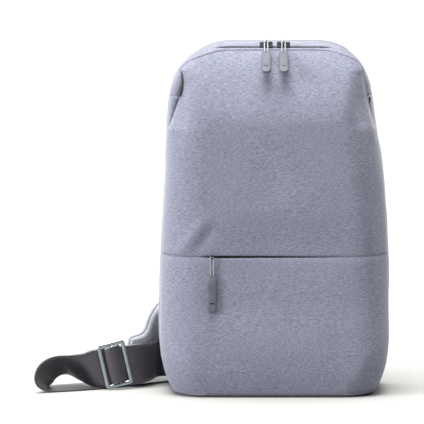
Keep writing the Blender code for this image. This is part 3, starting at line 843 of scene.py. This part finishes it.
# The hem band wears the lighter heather: painted highlight along its edge
attach(cloth("zip_hem_front", 170, 8, band, 0.0005, [HIGHLIT_BAND]), None, "heather_cloth")
line, normals = zip(*(inside_edge(i / 240, HEM_STITCH) for i in range(241)))
line = [at + normal * 0.0008 for at, normal in zip(line, normals)]
stitched("zip_stitches_front", line, normals, None)
around = [over_the_top(i / 240, ZIP_FOOT_Z) for i in range(241)]
stitched("zip_stitches_rear", [gusset_at(x, z, 0.075) for x, z in around], [outward(x, z) for x, z in around])

# Bar tacks close the zip's two ends
for side, sign in (("left", -1), ("right", 1)):
    parts = []
    for k in range(9):
        z = SLIT_Z - 0.0012 - 0.0006 * k
        x = sign * (front_half(sign, z) - 0.0008)
        at, normal = front_point(x, z)
        far = gusset_at(sign * half_width(z), z, 0.055) + outward(sign * half_width(z), z) * 0.0004
        thread = [at - normal * 0.0004, at + normal * 0.0004, at.lerp(far, 0.5) + normal * 0.0006, far]
        parts.append(tube(thread, 0.00028, 5))
    add("zip_bar_tack_" + side, parts, THREAD, "bag", "heather_cloth")


# Seams of the shell: stitches in the grooves beside the edges

STEPS = 160
line, normals = zip(*(front_point(-0.1165 + 0.233 * i / STEPS, POCKET_Z + 0.0034) for i in range(STEPS + 1)))
stitched("pocket_seam_stitches", line, normals)
for side, sign in (("left", -1), ("right", 1)):
    around = [(sign * half_width(z), z) for z in (0.008 + (SLIT_Z - 0.012) * i / 120 for i in range(121))]
    stitched("back_seam_stitches_" + side, [gusset_at(x, z, 0.965) for x, z in around],
             [outward(x, z) for x, z in around])


# Pocket zip: tapes and coil behind the slit

tape_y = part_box("pocket_zip_tape_upper")[0].y
for part, sign in (("upper", 1), ("lower", -1)):
    def pocket_tape(u, v, sign=sign):
        z = POCKET_Z + sign * (0.0003 + 0.0066 * (v if sign > 0 else 1 - v))
        x = POCKET_LEFT - 0.001 + (POCKET_RIGHT - POCKET_LEFT + 0.002) * u
        return x, tape_y + 0.0004 * sin(x * 90), z
    piece = cloth("pocket_tape_" + part, 60, 4, pocket_tape, 0.0007, [TAPE], (0.146, 0.006))
    attach(piece, "bag", "zip_tape", "pocket_zip_tape_" + part)
    coil = []
    for i in range(POCKET_LOOPS * COIL_TURN):
        x = POCKET_LEFT + 0.002 + (POCKET_RIGHT - POCKET_LEFT - 0.004) * i / (POCKET_LOOPS * COIL_TURN)
        a = 2 * pi * i / COIL_TURN
        coil.append(Vector((x, tape_y + 0.0011 + 0.0005 * sin(a), POCKET_Z + sign * (0.0006 + 0.0007 * cos(a)))))
    add("pocket_coil_" + part, [tube(coil, COIL_WIRE, 4)], COIL, "bag", "zip_tape")
dress(SLIDER, "pocket_zip_stop_left", "pocket_zip_stop_right")
dress(TAPE, "main_zip_stop_left", "main_zip_stop_right")


# Sliders and pulls

def rounded_box(size, at, bevel, segments=3, taper=None):
    """Points and faces of a box with rounded edges; taper narrows it towards -X or +X by a share."""
    shape = bmesh.new()
    bmesh.ops.create_cube(shape, size=1.0)
    bmesh.ops.scale(shape, vec=size, verts=shape.verts)
    if taper:
        for v in shape.verts:
            v.co.y *= 1 - taper * (0.5 + v.co.x / size[0])
    bmesh.ops.bevel(shape, geom=list(shape.edges), offset=bevel, segments=segments, profile=0.6, affect="EDGES")
    shape.verts.ensure_lookup_table()
    points = [v.co + Vector(at) for v in shape.verts]
    faces = [tuple(v.index for v in f.verts) for f in shape.faces]
    shape.free()
    return points, faces


BAR_HALF, BAR_LONG, BAR_WIRE = 0.0017, 0.0195, 0.00078
SHEATH_LONG, SHEATH_WIDE, SHEATH_THICK = 0.038, 0.0095, 0.0036
SHEATH_SQUARE = 2 / 3.6  # the section's power: 1 is an oval, less is squarer
SHEATH_STATIONS = [0, 0.0003, 0.0009, 0.0018, 0.0028, 0.0036, 0.006, 0.010, 0.014, 0.020, 0.026, 0.030, 0.0335,
                   0.0345, 0.0355, 0.0364, 0.0371, 0.0376, SHEATH_LONG]
SHEATH_SHOULDER, SHEATH_FOOT = 0.0036, 0.0044  # how far its two ends round off
PULL_LEAN = radians(62)
SLIDER_DEEP, SLIDER_TILT = 0.0100, radians(31)
CROWN_WIRE = 0.00070


def signed_power(value, power):
    return abs(value) ** power * (1 if value > 0 else -1)


def pull_pieces(name, at, lean):
    """The bent wire, the moulded sheath lofted down its length, and a thin dark strip on the sheath's face, painted
    shade standing in for a groove.
    They hang from a point, leaned forward by an angle."""
    turn = Matrix.Rotation(-lean, 4, "X")

    def hung(points):
        return [turn @ Vector(p) + at for p in points]

    corner = 0.0010
    path = [(x, 0, z) for x, z in reversed(arc((BAR_HALF - corner, -corner), corner, 0, 90, 6))]
    path += [(BAR_HALF, 0, -0.004 - 0.0155 * i / 8) for i in range(9)]
    wire = [(-x, y, z) for x, y, z in reversed(path)] + path
    add(name + "_wire", [tube(hung(wire), BAR_WIRE, 10)], STEEL, name, "bright_metal", name + "_bar")
    points, sides = [], 28
    for s in SHEATH_STATIONS:
        wide = SHEATH_WIDE / 2 * (0.60 + 0.40 * sqrt(1 - (1 - min(1.0, s / SHEATH_SHOULDER)) ** 2))
        thick = SHEATH_THICK / 2 * (0.70 + 0.30 * ease(s, 0.0, 0.004))
        thick -= 0.00022 * sin(pi * clamp((s - 0.010) / 0.026))
        left = SHEATH_LONG - s
        if left < SHEATH_FOOT:
            rounding = 1 - sqrt(max(0.0, 1 - (1 - left / SHEATH_FOOT) ** 2))
            wide -= 0.0040 * rounding
            thick -= 0.0008 * rounding
        for k in range(sides):
            a = 2 * pi * k / sides
            points.append((wide * signed_power(cos(a), SHEATH_SQUARE), thick * signed_power(sin(a), SHEATH_SQUARE),
                           -BAR_LONG - 0.0003 - s))
    faces = ring_faces(len(SHEATH_STATIONS), sides)
    faces += [tuple(range(sides - 1, -1, -1)), tuple(range(len(points) - sides, len(points)))]
    add(name + "_grip", [(hung(points), faces)], RUBBER, name, "pull_rubber", name + "_sheath")
    # A thin black box on the sheath's face: painted shade where a groove would be, with no groove under it
    groove_shade_at = (0, -SHEATH_THICK / 2 + 0.00025, -BAR_LONG - 0.0285)
    points, faces = rounded_box((0.0048, 0.0004, 0.0012), groove_shade_at, 0.00015)
    add(name + "_groove_shade", [(hung(points), faces)], SLIDER, name, "pull_rubber")


for side, heading in (("left", pi), ("right", 0)):
    name = "main_slider_" + side
    low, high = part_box(name)
    centre, long, deep = (low + high) / 2, high.x - low.x, SLIDER_DEEP
    parts = [rounded_box((long, deep, 0.0009), (0, 0, 0.0007), 0.00035, taper=0.20),
             rounded_box((long * 0.94, deep * 0.94, 0.0006), (0, 0, -0.0010), 0.00025, taper=0.16),
             rounded_box((long * 0.42, deep * 0.42, 0.0016), (-long * 0.08, 0, 0.0014), 0.0004),
             rounded_box((long * 0.30, deep * 0.30, 0.0012), (-long * 0.25, 0, -0.0002), 0.0002)]
    parts += [rounded_box((long * 0.80, 0.0007, 0.0011), (-long * 0.06, rail * (deep / 2 - 0.0008), 0.0), 0.0002)
              for rail in (-1, 1)]
    turn = Matrix.Rotation(SLIDER_TILT, 3, "X") @ Matrix.Rotation(heading, 3, "Z")
    seat = Vector((centre.x, centre.y - 0.0040, HEIGHT + 0.0010))
    placed = [([turn @ Vector(p) + seat for p in points], faces) for points, faces in parts]
    add("main_slider_body_" + side, placed, SLIDER, name, "black_metal", name)
    # The crown: an arch along the zip with an open eye for the pull's wire
    low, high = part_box("main_crown_" + side)
    mid, radius = (low + high) / 2, (high.y - low.y) / 2
    eye, half = high.z - radius, radius - CROWN_WIRE
    path = [(-half, low.z - eye)] + arc((0, 0), half, 180, 0, 14) + [(half, low.z - eye)]
    parts = [tube([Vector((mid.x, mid.y + y, eye + z)) for y, z in path], CROWN_WIRE, 8, flat=(ACROSS, 1.1))]
    add("main_crown_arch_" + side, parts, STEEL, name, "bright_metal", "main_crown_" + side)
    pull_pieces("main_pull_" + side, Vector((mid.x, mid.y, eye)), PULL_LEAN)

low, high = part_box("pocket_slider")
centre, size = (low + high) / 2, high - low
parts = [rounded_box([size[k] * part[k] for k in range(3)], [centre[k] + size[k] * off[k] for k in range(3)], bevel)
         for part, off, bevel in (((1, 0.42, 0.92), (0, -0.29, 0), 0.0004), ((0.94, 0.42, 1), (0, 0.29, 0), 0.0004),
                                  ((0.35, 0.5, 0.3), (0.25, 0, 0), 0.0002))]
add("pocket_slider_body", parts, SLIDER, "pocket_slider", "black_metal", "pocket_slider")
crown_low, crown_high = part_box("pocket_crown")
mid = (crown_low + crown_high) / 2
eye_y = crown_low.y + 0.0021
path = [Vector((mid.x, eye_y + y, POCKET_Z + z)) for y, z in
        [(crown_high.y - eye_y, 0.0001)] + arc((0, 0), 0.0017, 40, 320, 20) + [(crown_high.y - eye_y, -0.0001)]]
add("pocket_crown_loop", [tube(path, 0.00036, 8, flat=(ACROSS, 2.1))], SLIDER, "pocket_slider",
    "bright_metal", "pocket_crown")
pull_pieces("pocket_pull", Vector((mid.x, eye_y, POCKET_Z)), 0.0)


# Inside: the pocket's wall, the sleeve and the boards

WALL_Y, SLEEVE_Y = -0.0285, 0.0291


def pocket_wall(u, v):
    low = SHELL_FOOT_Z + 0.0020
    z = low + (0.158 - low) * v
    x = (2 * u - 1) * (half_width(z) - 0.0095)
    turn = ease(z, 0.135, 0.155)
    at_front = front_y(x, z) + 0.00435
    slack = 0.0011 * noise.noise(Vector((x * 22, z * 22, 1.0))) * sin(pi * v) * (1 - turn)
    return x, WALL_Y + slack + (at_front - WALL_Y) * turn, z


def sleeve(u, v):
    low = SHELL_FOOT_Z + 0.0020
    z = low + (0.245 - low) * v
    x = (2 * u - 1) * 0.100
    ripple = 0.0008 * noise.noise(Vector((x * 20, z * 14, 5.0)))
    return x, SLEEVE_Y + (ripple - 0.0012 * v) * sin(pi * u), z


piece = cloth("pocket_wall_lining", 70, 60, pocket_wall, 0.0008, [LINING])
attach(piece, "bag", "lining", "pocket_inner_wall")
piece = cloth("tablet_sleeve_lining", 60, 60, sleeve, 0.0008, [LINING])
attach(piece, "bag", "lining", "tablet_sleeve")
edge = [Vector(sleeve(i / 60, 1.0)) for i in range(61)]
add("sleeve_binding", [tube(edge, 0.0016, 8, flat=(BACKWARD, 0.8))], EDGING, "bag", "lining")
dress(BOARD, "base_stiffener", "back_stiffener")


# Back panel: foam under open mesh, swelled by a cloth simulation, with sewn channels

def modified(piece):
    """The piece's mesh as its modifiers leave it; clears them."""
    made = bpy.data.meshes.new_from_object(piece.evaluated_get(bpy.context.evaluated_depsgraph_get()))
    piece.modifiers.clear()
    return made


def coordinates(mesh):
    flat = np.zeros(len(mesh.vertices) * 3, np.float32)
    mesh.vertices.foreach_get("co", flat)
    return flat.reshape(-1, 3)


def swelled(piece, voxel, pressure, cap):
    """A closed mesh remeshed, puffed up by cloth pressure, held within a distance of where it started."""
    looks = list(piece.data.materials)
    remesh = piece.modifiers.new("remesh", "REMESH")
    remesh.mode = "VOXEL"
    remesh.voxel_size = voxel
    bpy.context.view_layer.update()
    made = modified(piece)
    piece.data = made
    made.materials.clear()
    for look in looks:
        made.materials.append(look)
    start = coordinates(made)
    push = piece.modifiers.new("swell", "CLOTH")
    push.settings.use_pressure = True
    push.settings.uniform_pressure_force = pressure
    push.settings.effector_weights.gravity = 0
    push.settings.quality = 4
    push.settings.mass = 0.3
    scene = bpy.context.scene
    for number in range(1, 21):
        scene.frame_set(number)
    puffed = modified(piece)
    scene.frame_set(1)
    move = coordinates(puffed) - start
    bpy.data.meshes.remove(puffed)
    far = np.linalg.norm(move, axis=1, keepdims=True)
    start = start + move * np.minimum(1.0, cap / np.maximum(far, 1e-9))
    return start


def finish_pad(piece, points):
    """Moves the mesh to its points, softens it and makes it finer."""
    piece.data.vertices.foreach_set("co", points.astype(np.float32).ravel())
    smoother = piece.modifiers.new("smooth", "SMOOTH")
    smoother.factor = 0.5
    smoother.iterations = 3
    finer = piece.modifiers.new("finer", "SUBSURF")
    finer.levels = finer.render_levels = 1
    piece.data = modified(piece)
    piece.data.shade_smooth()


def arch(grow, low, steps=72):
    """The back's outline, as (x, z)."""
    points = []
    for i in range(steps + 1):
        x, z = over_the_top(i / steps, low)
        out = outward(x, z) * grow
        points.append((x + out.x + sway(z) - tuck(x, z) * (1 if x > 0 else -1), z + out.z))
    return points


def panel_mesh(name, y_low, y_high, grow, low, look):
    outline = arch(grow, low)
    count = len(outline)
    points = [(x, y_low, z) for x, z in outline] + [(x, y_high, z) for x, z in outline]
    faces = [tuple(range(count)), tuple(range(2 * count - 1, count - 1, -1))]
    faces += [(i, i + count, (i + 1) % count + count, (i + 1) % count) for i in range(count)]
    return mesh_piece(name, points, faces, [look])


CHANNEL_MIDDLE, CHANNEL_SLANT = 0.0040, 0.0032  # depths


def channels(x, z):
    """Depth of the sewn channels in the back panel: an airflow gap up the middle and two slanted pairs of lines."""
    middle = exp(-(x / 0.0065) ** 2) * ease(z, 0.030, 0.050) * (1 - ease(z, 0.262, 0.285))
    ends = ease(abs(x), 0.008, 0.02) * (1 - ease(abs(x), 0.088, 0.10))
    slant = max(exp(-((z - foot - 0.32 * (abs(x) - 0.02)) / 0.0032) ** 2) * ends for foot in (0.085, 0.185))
    return max(CHANNEL_MIDDLE * middle, CHANNEL_SLANT * slant)


panel = panel_mesh("back_panel_padded", PANEL_Y + 0.0002, BACK_Y - 0.0016, -0.0006, SHELL_FOOT_Z + 0.0004, MESH)
points = swelled(panel, voxel=0.0032, pressure=3.0, cap=0.0022)
for point in points:
    point[1] = max(point[1], PANEL_Y + 0.0001)
    point[2] = max(point[2], 0.0034)
    if point[1] > 0.046:
        point[1] = min(point[1], BACK_Y + 0.0006) - channels(point[0], point[2])
finish_pad(panel, points)
attach(panel, "bag", "back_mesh", "back_panel")
trim = [Vector((x, BACK_Y - 0.0026, z)) for x, z in arch(-0.0008, SHELL_FOOT_Z + 0.001, 200)]
add("back_panel_binding", [tube(even(trim, 0.003), 0.0021, 10, flat=(BACKWARD, 0.85))], EDGING, "bag", "base_cloth")
low_trim = [Vector((-0.1035 + 0.207 * i / 60, BACK_Y - 0.0012, 0.0052)) for i in range(61)]
add("back_panel_foot_binding", [tube(low_trim, 0.0019, 10)], EDGING, "bag", "base_cloth")
line = [Vector((x, BACK_Y + 0.0006, z)) for x, z in arch(-0.0034, SHELL_FOOT_Z + 0.004, 200)]
add("back_panel_stitches", seam(line, lambda at: BACKWARD), DARK_THREAD, "bag", "base_cloth")


# Strap pad

# The pad's path seen from above, round the pack's corner and along its back: x, y
PAD_PLAN = [(-0.1535, 0.0208), (-0.1400, 0.0285), (-0.1345, 0.0375), (-0.1315, 0.0480),
            (-0.1245, 0.0585), (-0.1090, 0.0608), (-0.0600, 0.0608), (0.0300, 0.0608), (0.0700, 0.0608)]
# Its middle line: distance along that path, height, width
PAD_LINE = [(0.000, 0.0300, 0.043), (0.012, 0.0305, 0.046), (0.026, 0.0325, 0.050), (0.046, 0.0400, 0.058),
            (0.076, 0.0580, 0.066), (0.109, 0.0900, 0.070), (0.138, 0.1350, 0.072), (0.156, 0.1850, 0.073),
            (0.168, 0.2400, 0.073), (0.176, 0.2950, 0.072), (0.178, 0.3360, 0.068)]
PAD_THICK = 0.010
plan = [smooth(PAD_PLAN, i / 400) for i in range(401)]
plan_gone = [0.0]
for a, b in zip(plan, plan[1:]):
    plan_gone.append(plan_gone[-1] + (b - a).length)


def plan_point(distance):
    i = int(np.searchsorted(plan_gone, distance))
    if i <= 0:
        return plan[0]
    if i >= len(plan):
        return plan[-1]
    return plan[i - 1].lerp(plan[i], (distance - plan_gone[i - 1]) / max(1e-9, plan_gone[i] - plan_gone[i - 1]))


def pad_point(u, v):
    """A point of the pad's middle surface; u from the tip to the top, v from its upper edge to its lower."""
    centre, ahead, behind = (smooth(PAD_LINE, share) for share in (u, u + 0.01, u - 0.01))
    side = Vector((behind.y - ahead.y, ahead.x - behind.x)).normalized() * centre.z * (v - 0.5)
    tip = max(0.0, 1 - u / 0.035)
    at = plan_point(max(0.0, centre.x + side.x) + 0.004 * tip * (2 * abs(v - 0.5)) ** 2)
    return at.x, at.y, centre.y + side.y


across, up = 150, 30
grid = placed_grid(across, up, pad_point)
facing = grid_normals(grid)


def pad_thickness(u, v):
    """Half the pad's thickness: full in the middle, pinched where the binding holds its edges."""
    edge = min(v, 1 - v) * 0.070
    ends = min(u * 0.42, (1 - u) * 0.42)
    pinch = min(1.0, edge / 0.012, ends / 0.014)
    return PAD_THICK / 2 * (0.52 + 0.48 * sqrt(1 - (1 - pinch) ** 2))


half = placed_grid(across, up, lambda u, v: (pad_thickness(u, v),))
both = np.concatenate([(grid + facing * half).reshape(-1, 3), (grid - facing * half).reshape(-1, 3)])
faces, rim = two_sided(across, up)
pad = mesh_piece("strap_pad_cushion", both, faces, [MESH])
attach(pad, "bag", "back_mesh", "strap_pad")
round_rim = [Vector(grid[k // (across + 1), k % (across + 1)]) for k in rim]
add("strap_pad_binding", [tube(even(round_rim + [round_rim[0]], 0.0035)[:-1], 0.0018, 10, True)], EDGING, "bag",
    "webbing")


def on_grid(table, u, v):
    """The table's value between its grid points."""
    i, j = u * across, v * up
    a, b = min(int(i), across - 1), min(int(j), up - 1)
    f, g = i - a, j - b
    return ((table[b, a] * (1 - f) + table[b, a + 1] * f) * (1 - g)
            + (table[b + 1, a] * (1 - f) + table[b + 1, a + 1] * f) * g)


parts = []
for face_sign in (1, -1):
    for numbers, start, way, v in ((range(400), 0.012, 0.976, 0.06), (range(1, 401), 0.988, -0.976, 0.94)):
        line, normals = [], []
        for k in numbers:
            u = start + way * k / 400
            normals.append(Vector(on_grid(facing, u, v)) * face_sign)
            line.append(Vector(on_grid(grid, u, v)) + normals[-1] * (float(on_grid(half, u, v)[0]) + 0.0002))
        parts += seam(line, nearest_normal(line, normals))
add("strap_pad_stitches", parts, THREAD, "bag", "webbing")


# Webbing: one strap from the pad through the adjuster, back along the floor and up to its tab

# Each station has a point of the upper edge and one of the lower edge.
WEBBING_EDGES = [
    ((-0.1000, 0.0530, 0.0470), (-0.1000, 0.0530, 0.0070)),
    ((-0.1120, 0.0530, 0.0470), (-0.1120, 0.0530, 0.0070)),
    ((-0.1195, 0.0515, 0.0470), (-0.1195, 0.0515, 0.0070)),
    ((-0.1240, 0.0440, 0.0470), (-0.1240, 0.0440, 0.0070)),
    ((-0.1270, 0.0330, 0.0470), (-0.1270, 0.0330, 0.0070)),
    ((-0.1335, 0.0215, 0.0470), (-0.1335, 0.0215, 0.0058)),
    ((-0.1465, 0.0147, 0.0468), (-0.1455, 0.0148, 0.0038)),
    ((-0.1685, 0.0100, 0.0452), (-0.1600, 0.0118, 0.0034)),
    ((-0.1870, 0.0061, 0.0430), (-0.1760, 0.0084, 0.0021)),
    ((-0.2000, 0.0050, 0.0385), (-0.1885, 0.0130, 0.0018)),
    ((-0.2130, 0.0025, 0.0365), (-0.2020, 0.0265, 0.0062)),
    ((-0.2270, -0.0030, 0.0365), (-0.2150, 0.0280, 0.0125)),
    ((-0.2385, -0.0095, 0.0335), (-0.2235, 0.0215, 0.0130)),
    ((-0.2465, -0.0155, 0.0265), (-0.2290, 0.0170, 0.0100)),
    ((-0.2495, -0.0200, 0.0170), (-0.2315, 0.0150, 0.0068)),
    ((-0.2470, -0.0205, 0.0085), (-0.2345, 0.0170, 0.0036)),
    ((-0.2400, -0.0185, 0.0035), (-0.2370, 0.0205, 0.0018)),
    ((-0.2295, -0.0143, 0.0011), (-0.2400, 0.0240, 0.0011)),
    ((-0.1968, -0.0017, 0.0011), (-0.2112, 0.0357, 0.0011)),
    ((-0.1646, 0.0153, 0.0011), (-0.1834, 0.0507, 0.0011)),
    ((-0.1348, 0.0344, 0.0011), (-0.1572, 0.0676, 0.0011)),
    ((-0.1057, 0.0552, 0.0011), (-0.1303, 0.0868, 0.0011)),
    ((-0.0625, 0.0868, 0.0011), (-0.1025, 0.1063, 0.0011)),
]
# The strap's last stretch: folded over on the slant, then forward to the tab.
FOLD_EDGES = [
    ((-0.0615, 0.0886, 0.0014), (-0.1015, 0.1081, 0.0014)),
    ((-0.0612, 0.0892, 0.0023), (-0.1012, 0.1087, 0.0023)),
    ((-0.0616, 0.0884, 0.0031), (-0.1016, 0.1079, 0.0031)),
    ((-0.0620, 0.0800, 0.0032), (-0.1020, 0.0900, 0.0032)),
    ((-0.0620, 0.0660, 0.0032), (-0.1020, 0.0700, 0.0032)),
    ((-0.0620, 0.0548, 0.0032), (-0.1020, 0.0548, 0.0032)),
]
upper_edge, lower_edge = zip(*(WEBBING_EDGES + FOLD_EDGES))


def webbing(u, v):
    return smooth(upper_edge, u).lerp(smooth(lower_edge, u), v)


middle = [webbing(i / 400, 0.5) for i in range(401)]
strap_long = sum((b - a).length for a, b in zip(middle, middle[1:]))
strap = cloth("strap_webbing_band", 330, 10, webbing, 0.0014, [STRAP], (strap_long, 0.040), centred=True)
attach(strap, "bag", "webbing", "strap_webbing", "webbing_anchor_run")


# Top anchor: a stitched patch over the strap's end
low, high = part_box("strap_top_anchor")


def anchor(u, v):
    x = low.x + (high.x - low.x) * (1 - u)
    z = low.z + (high.z - low.z) * v
    rim = min(u, 1 - u, v, 1 - v)
    return x, low.y + 0.0012 + (high.y - low.y - 0.0014) * sqrt(min(1.0, rim / 0.06)), z


piece = cloth("strap_top_patch", 40, 28, anchor, 0.0012, [BASE])
attach(piece, "bag", "base_cloth", "strap_top_anchor")
STITCHED_IN = 0.006
a, b, c, d = [Vector((x, high.y + 0.0002, z)) for x, z in
              ((low.x + STITCHED_IN, low.z + STITCHED_IN), (high.x - STITCHED_IN, low.z + STITCHED_IN),
               (high.x - STITCHED_IN, high.z - STITCHED_IN), (low.x + STITCHED_IN, high.z - STITCHED_IN))]
inner = [a, b, c, d, a, c, b, d]  # a box with a cross in it
add("strap_top_stitches", seam(inner, lambda at: BACKWARD), THREAD, "bag", "base_cloth")

# Foot tab: a folded cloth tab that holds the webbing's end against the back's foot
low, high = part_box("webbing_anchor_tab")
section = [(low.y, 0.0012), (low.y, 0.0046), (low.y + 0.0008, 0.0056), (high.y - 0.0004, 0.0056),
           (high.y + 0.0010, 0.0048), (high.y + 0.0040, 0.0046), (high.y + 0.0040, 0.0040), (high.y, 0.0038),
           (high.y - 0.0004, 0.0012)]
rows, n = 24, len(section)
points = [(low.x + (high.x - low.x) * i / rows, y, z) for i in range(rows + 1) for y, z in section]
faces = [face[::-1] for face in ring_faces(rows + 1, n)]
faces += [tuple(range(n)), tuple(range(len(points) - 1, len(points) - n - 1, -1))]
tab = mesh_piece("webbing_foot_tab", points, faces, [BASE], is_smooth=False)
attach(tab, "bag", "base_cloth", "webbing_anchor_tab")


# Adjuster

ADJUSTER = (Matrix.Translation((-0.165, 0.006, 0.0268)) @ Matrix.Rotation(radians(12), 4, "Z")
            @ Matrix.Rotation(-radians(13), 4, "Y"))
FRAME_IN, FRAME_OUT, FRAME_HIGH, FRAME_CORNER = -0.0120, 0.0095, 0.0200, 0.0020


def adjuster_point(x, y, z):
    """From the adjuster's own frame: X along the strap, Z along the bars, -Y outwards."""
    return ADJUSTER @ Vector((x, y, z))


outline = []
for x, z, start in ((FRAME_OUT, -FRAME_HIGH, -90), (FRAME_OUT, FRAME_HIGH, 0), (FRAME_IN, FRAME_HIGH, 90),
                    (FRAME_IN, -FRAME_HIGH, 180)):
    outline += arc((x, z), FRAME_CORNER, start, start + 90, 8)
loop = even([Vector((x, z, 0)) for x, z in outline + [outline[0]]], 0.0012)[:-1]
loop = [adjuster_point(p.x, 0, p.y) for p in loop]
facing_out = (adjuster_point(0, -1, 0) - adjuster_point(0, 0, 0)).normalized()
add("adjuster_ring", [tube(loop, 0.00215, 16, True, flat=(facing_out, 0.55))], FRAME_STEEL, "adjuster",
    "adjuster_metal", "adjuster_frame")
bar = [adjuster_point(0, 0, -0.0207 + 0.0414 * i / 20) for i in range(21)]
add("adjuster_bar", [tube(bar, 0.00150, 12)], FRAME_STEEL, "adjuster", "adjuster_metal", "adjuster_centre_bar")


def wrap(u, v):
    """The webbing's turn over the middle bar: in behind one side of the frame and out behind the other."""
    share = 2 * u - 1
    end = 1 - 0.10 * (2 * abs(v - 0.5)) ** 6
    y = 0.0016 - 0.0040 * (1 - abs(share) ** 2.4) - 0.0012 * (1 - share ** 2)
    return adjuster_point(0.0095 * share * end - 0.0012, y, -0.0195 + 0.039 * v)


roll = cloth("adjuster_webbing_wrap", 40, 30, wrap, 0.0013, [STRAP], (0.022, 0.039))
attach(roll, "adjuster", "webbing", "adjuster_webbing_roll")


# Floor and light
floor_look = Look("floor", 0.9, specular=0.1)
floor_look.colour((0.345, 0.345, 0.345, 1))
floor = mesh_piece("floor", [(-6, -6, 0), (6, -6, 0), (6, 6, 0), (-6, 6, 0)], [(0, 1, 2, 3)], [floor_look.material])

world = bpy.data.worlds.new("studio")
world.use_nodes = True
tree = world.node_tree


def world_node(kind, *links, **settings):
    made = tree.nodes.new("ShaderNode" + kind)
    for key, value in settings.items():
        setattr(made, key, value)
    for socket, source in zip(made.inputs, links):
        if isinstance(source, bpy.types.NodeSocket):
            tree.links.new(source, socket)
    return made


# Bright behind and above the pack, dimmer in front of it
FRONT_GLOW, FULL_GLOW = 0.03, 1.05
parts = world_node("SeparateXYZ", world_node("TexCoord").outputs["Generated"])
glow = []
for axis, low, high, dim in ((1, 0.0, 0.45, FRONT_GLOW), (2, 0.35, 0.85, 0.0)):
    scaled = world_node("MapRange", parts.outputs[axis], interpolation_type="SMOOTHSTEP")
    for socket, value in zip(scaled.inputs[1:5], (low, high, dim, FULL_GLOW)):
        socket.default_value = value
    glow.append(scaled.outputs[0])
brightest = world_node("Math", *glow, operation="MAXIMUM")
tree.links.new(brightest.outputs[0], tree.nodes["Background"].inputs[1])
tree.nodes["Background"].inputs[0].default_value = (1, 1, 1, 1)
bpy.context.scene.world = world


def sun(name, energy, place, angle, colour):
    data = bpy.data.lights.new(name, "SUN")
    data.energy, data.angle, data.color = energy, angle, colour
    made = bpy.data.objects.new(name, data)
    bpy.context.scene.collection.objects.link(made)
    made.location = place
    made.rotation_euler = (Vector((0, 0, 0.18)) - Vector(place)).to_track_quat("-Z", "Y").to_euler()


sun("top", 7.0, (-0.20, -0.26, 2.6), radians(40), (1.0, 0.985, 0.935))
sun("key", 3.5, (-1.9, -0.85, 0.8), radians(20), (1.0, 1.0, 1.0))
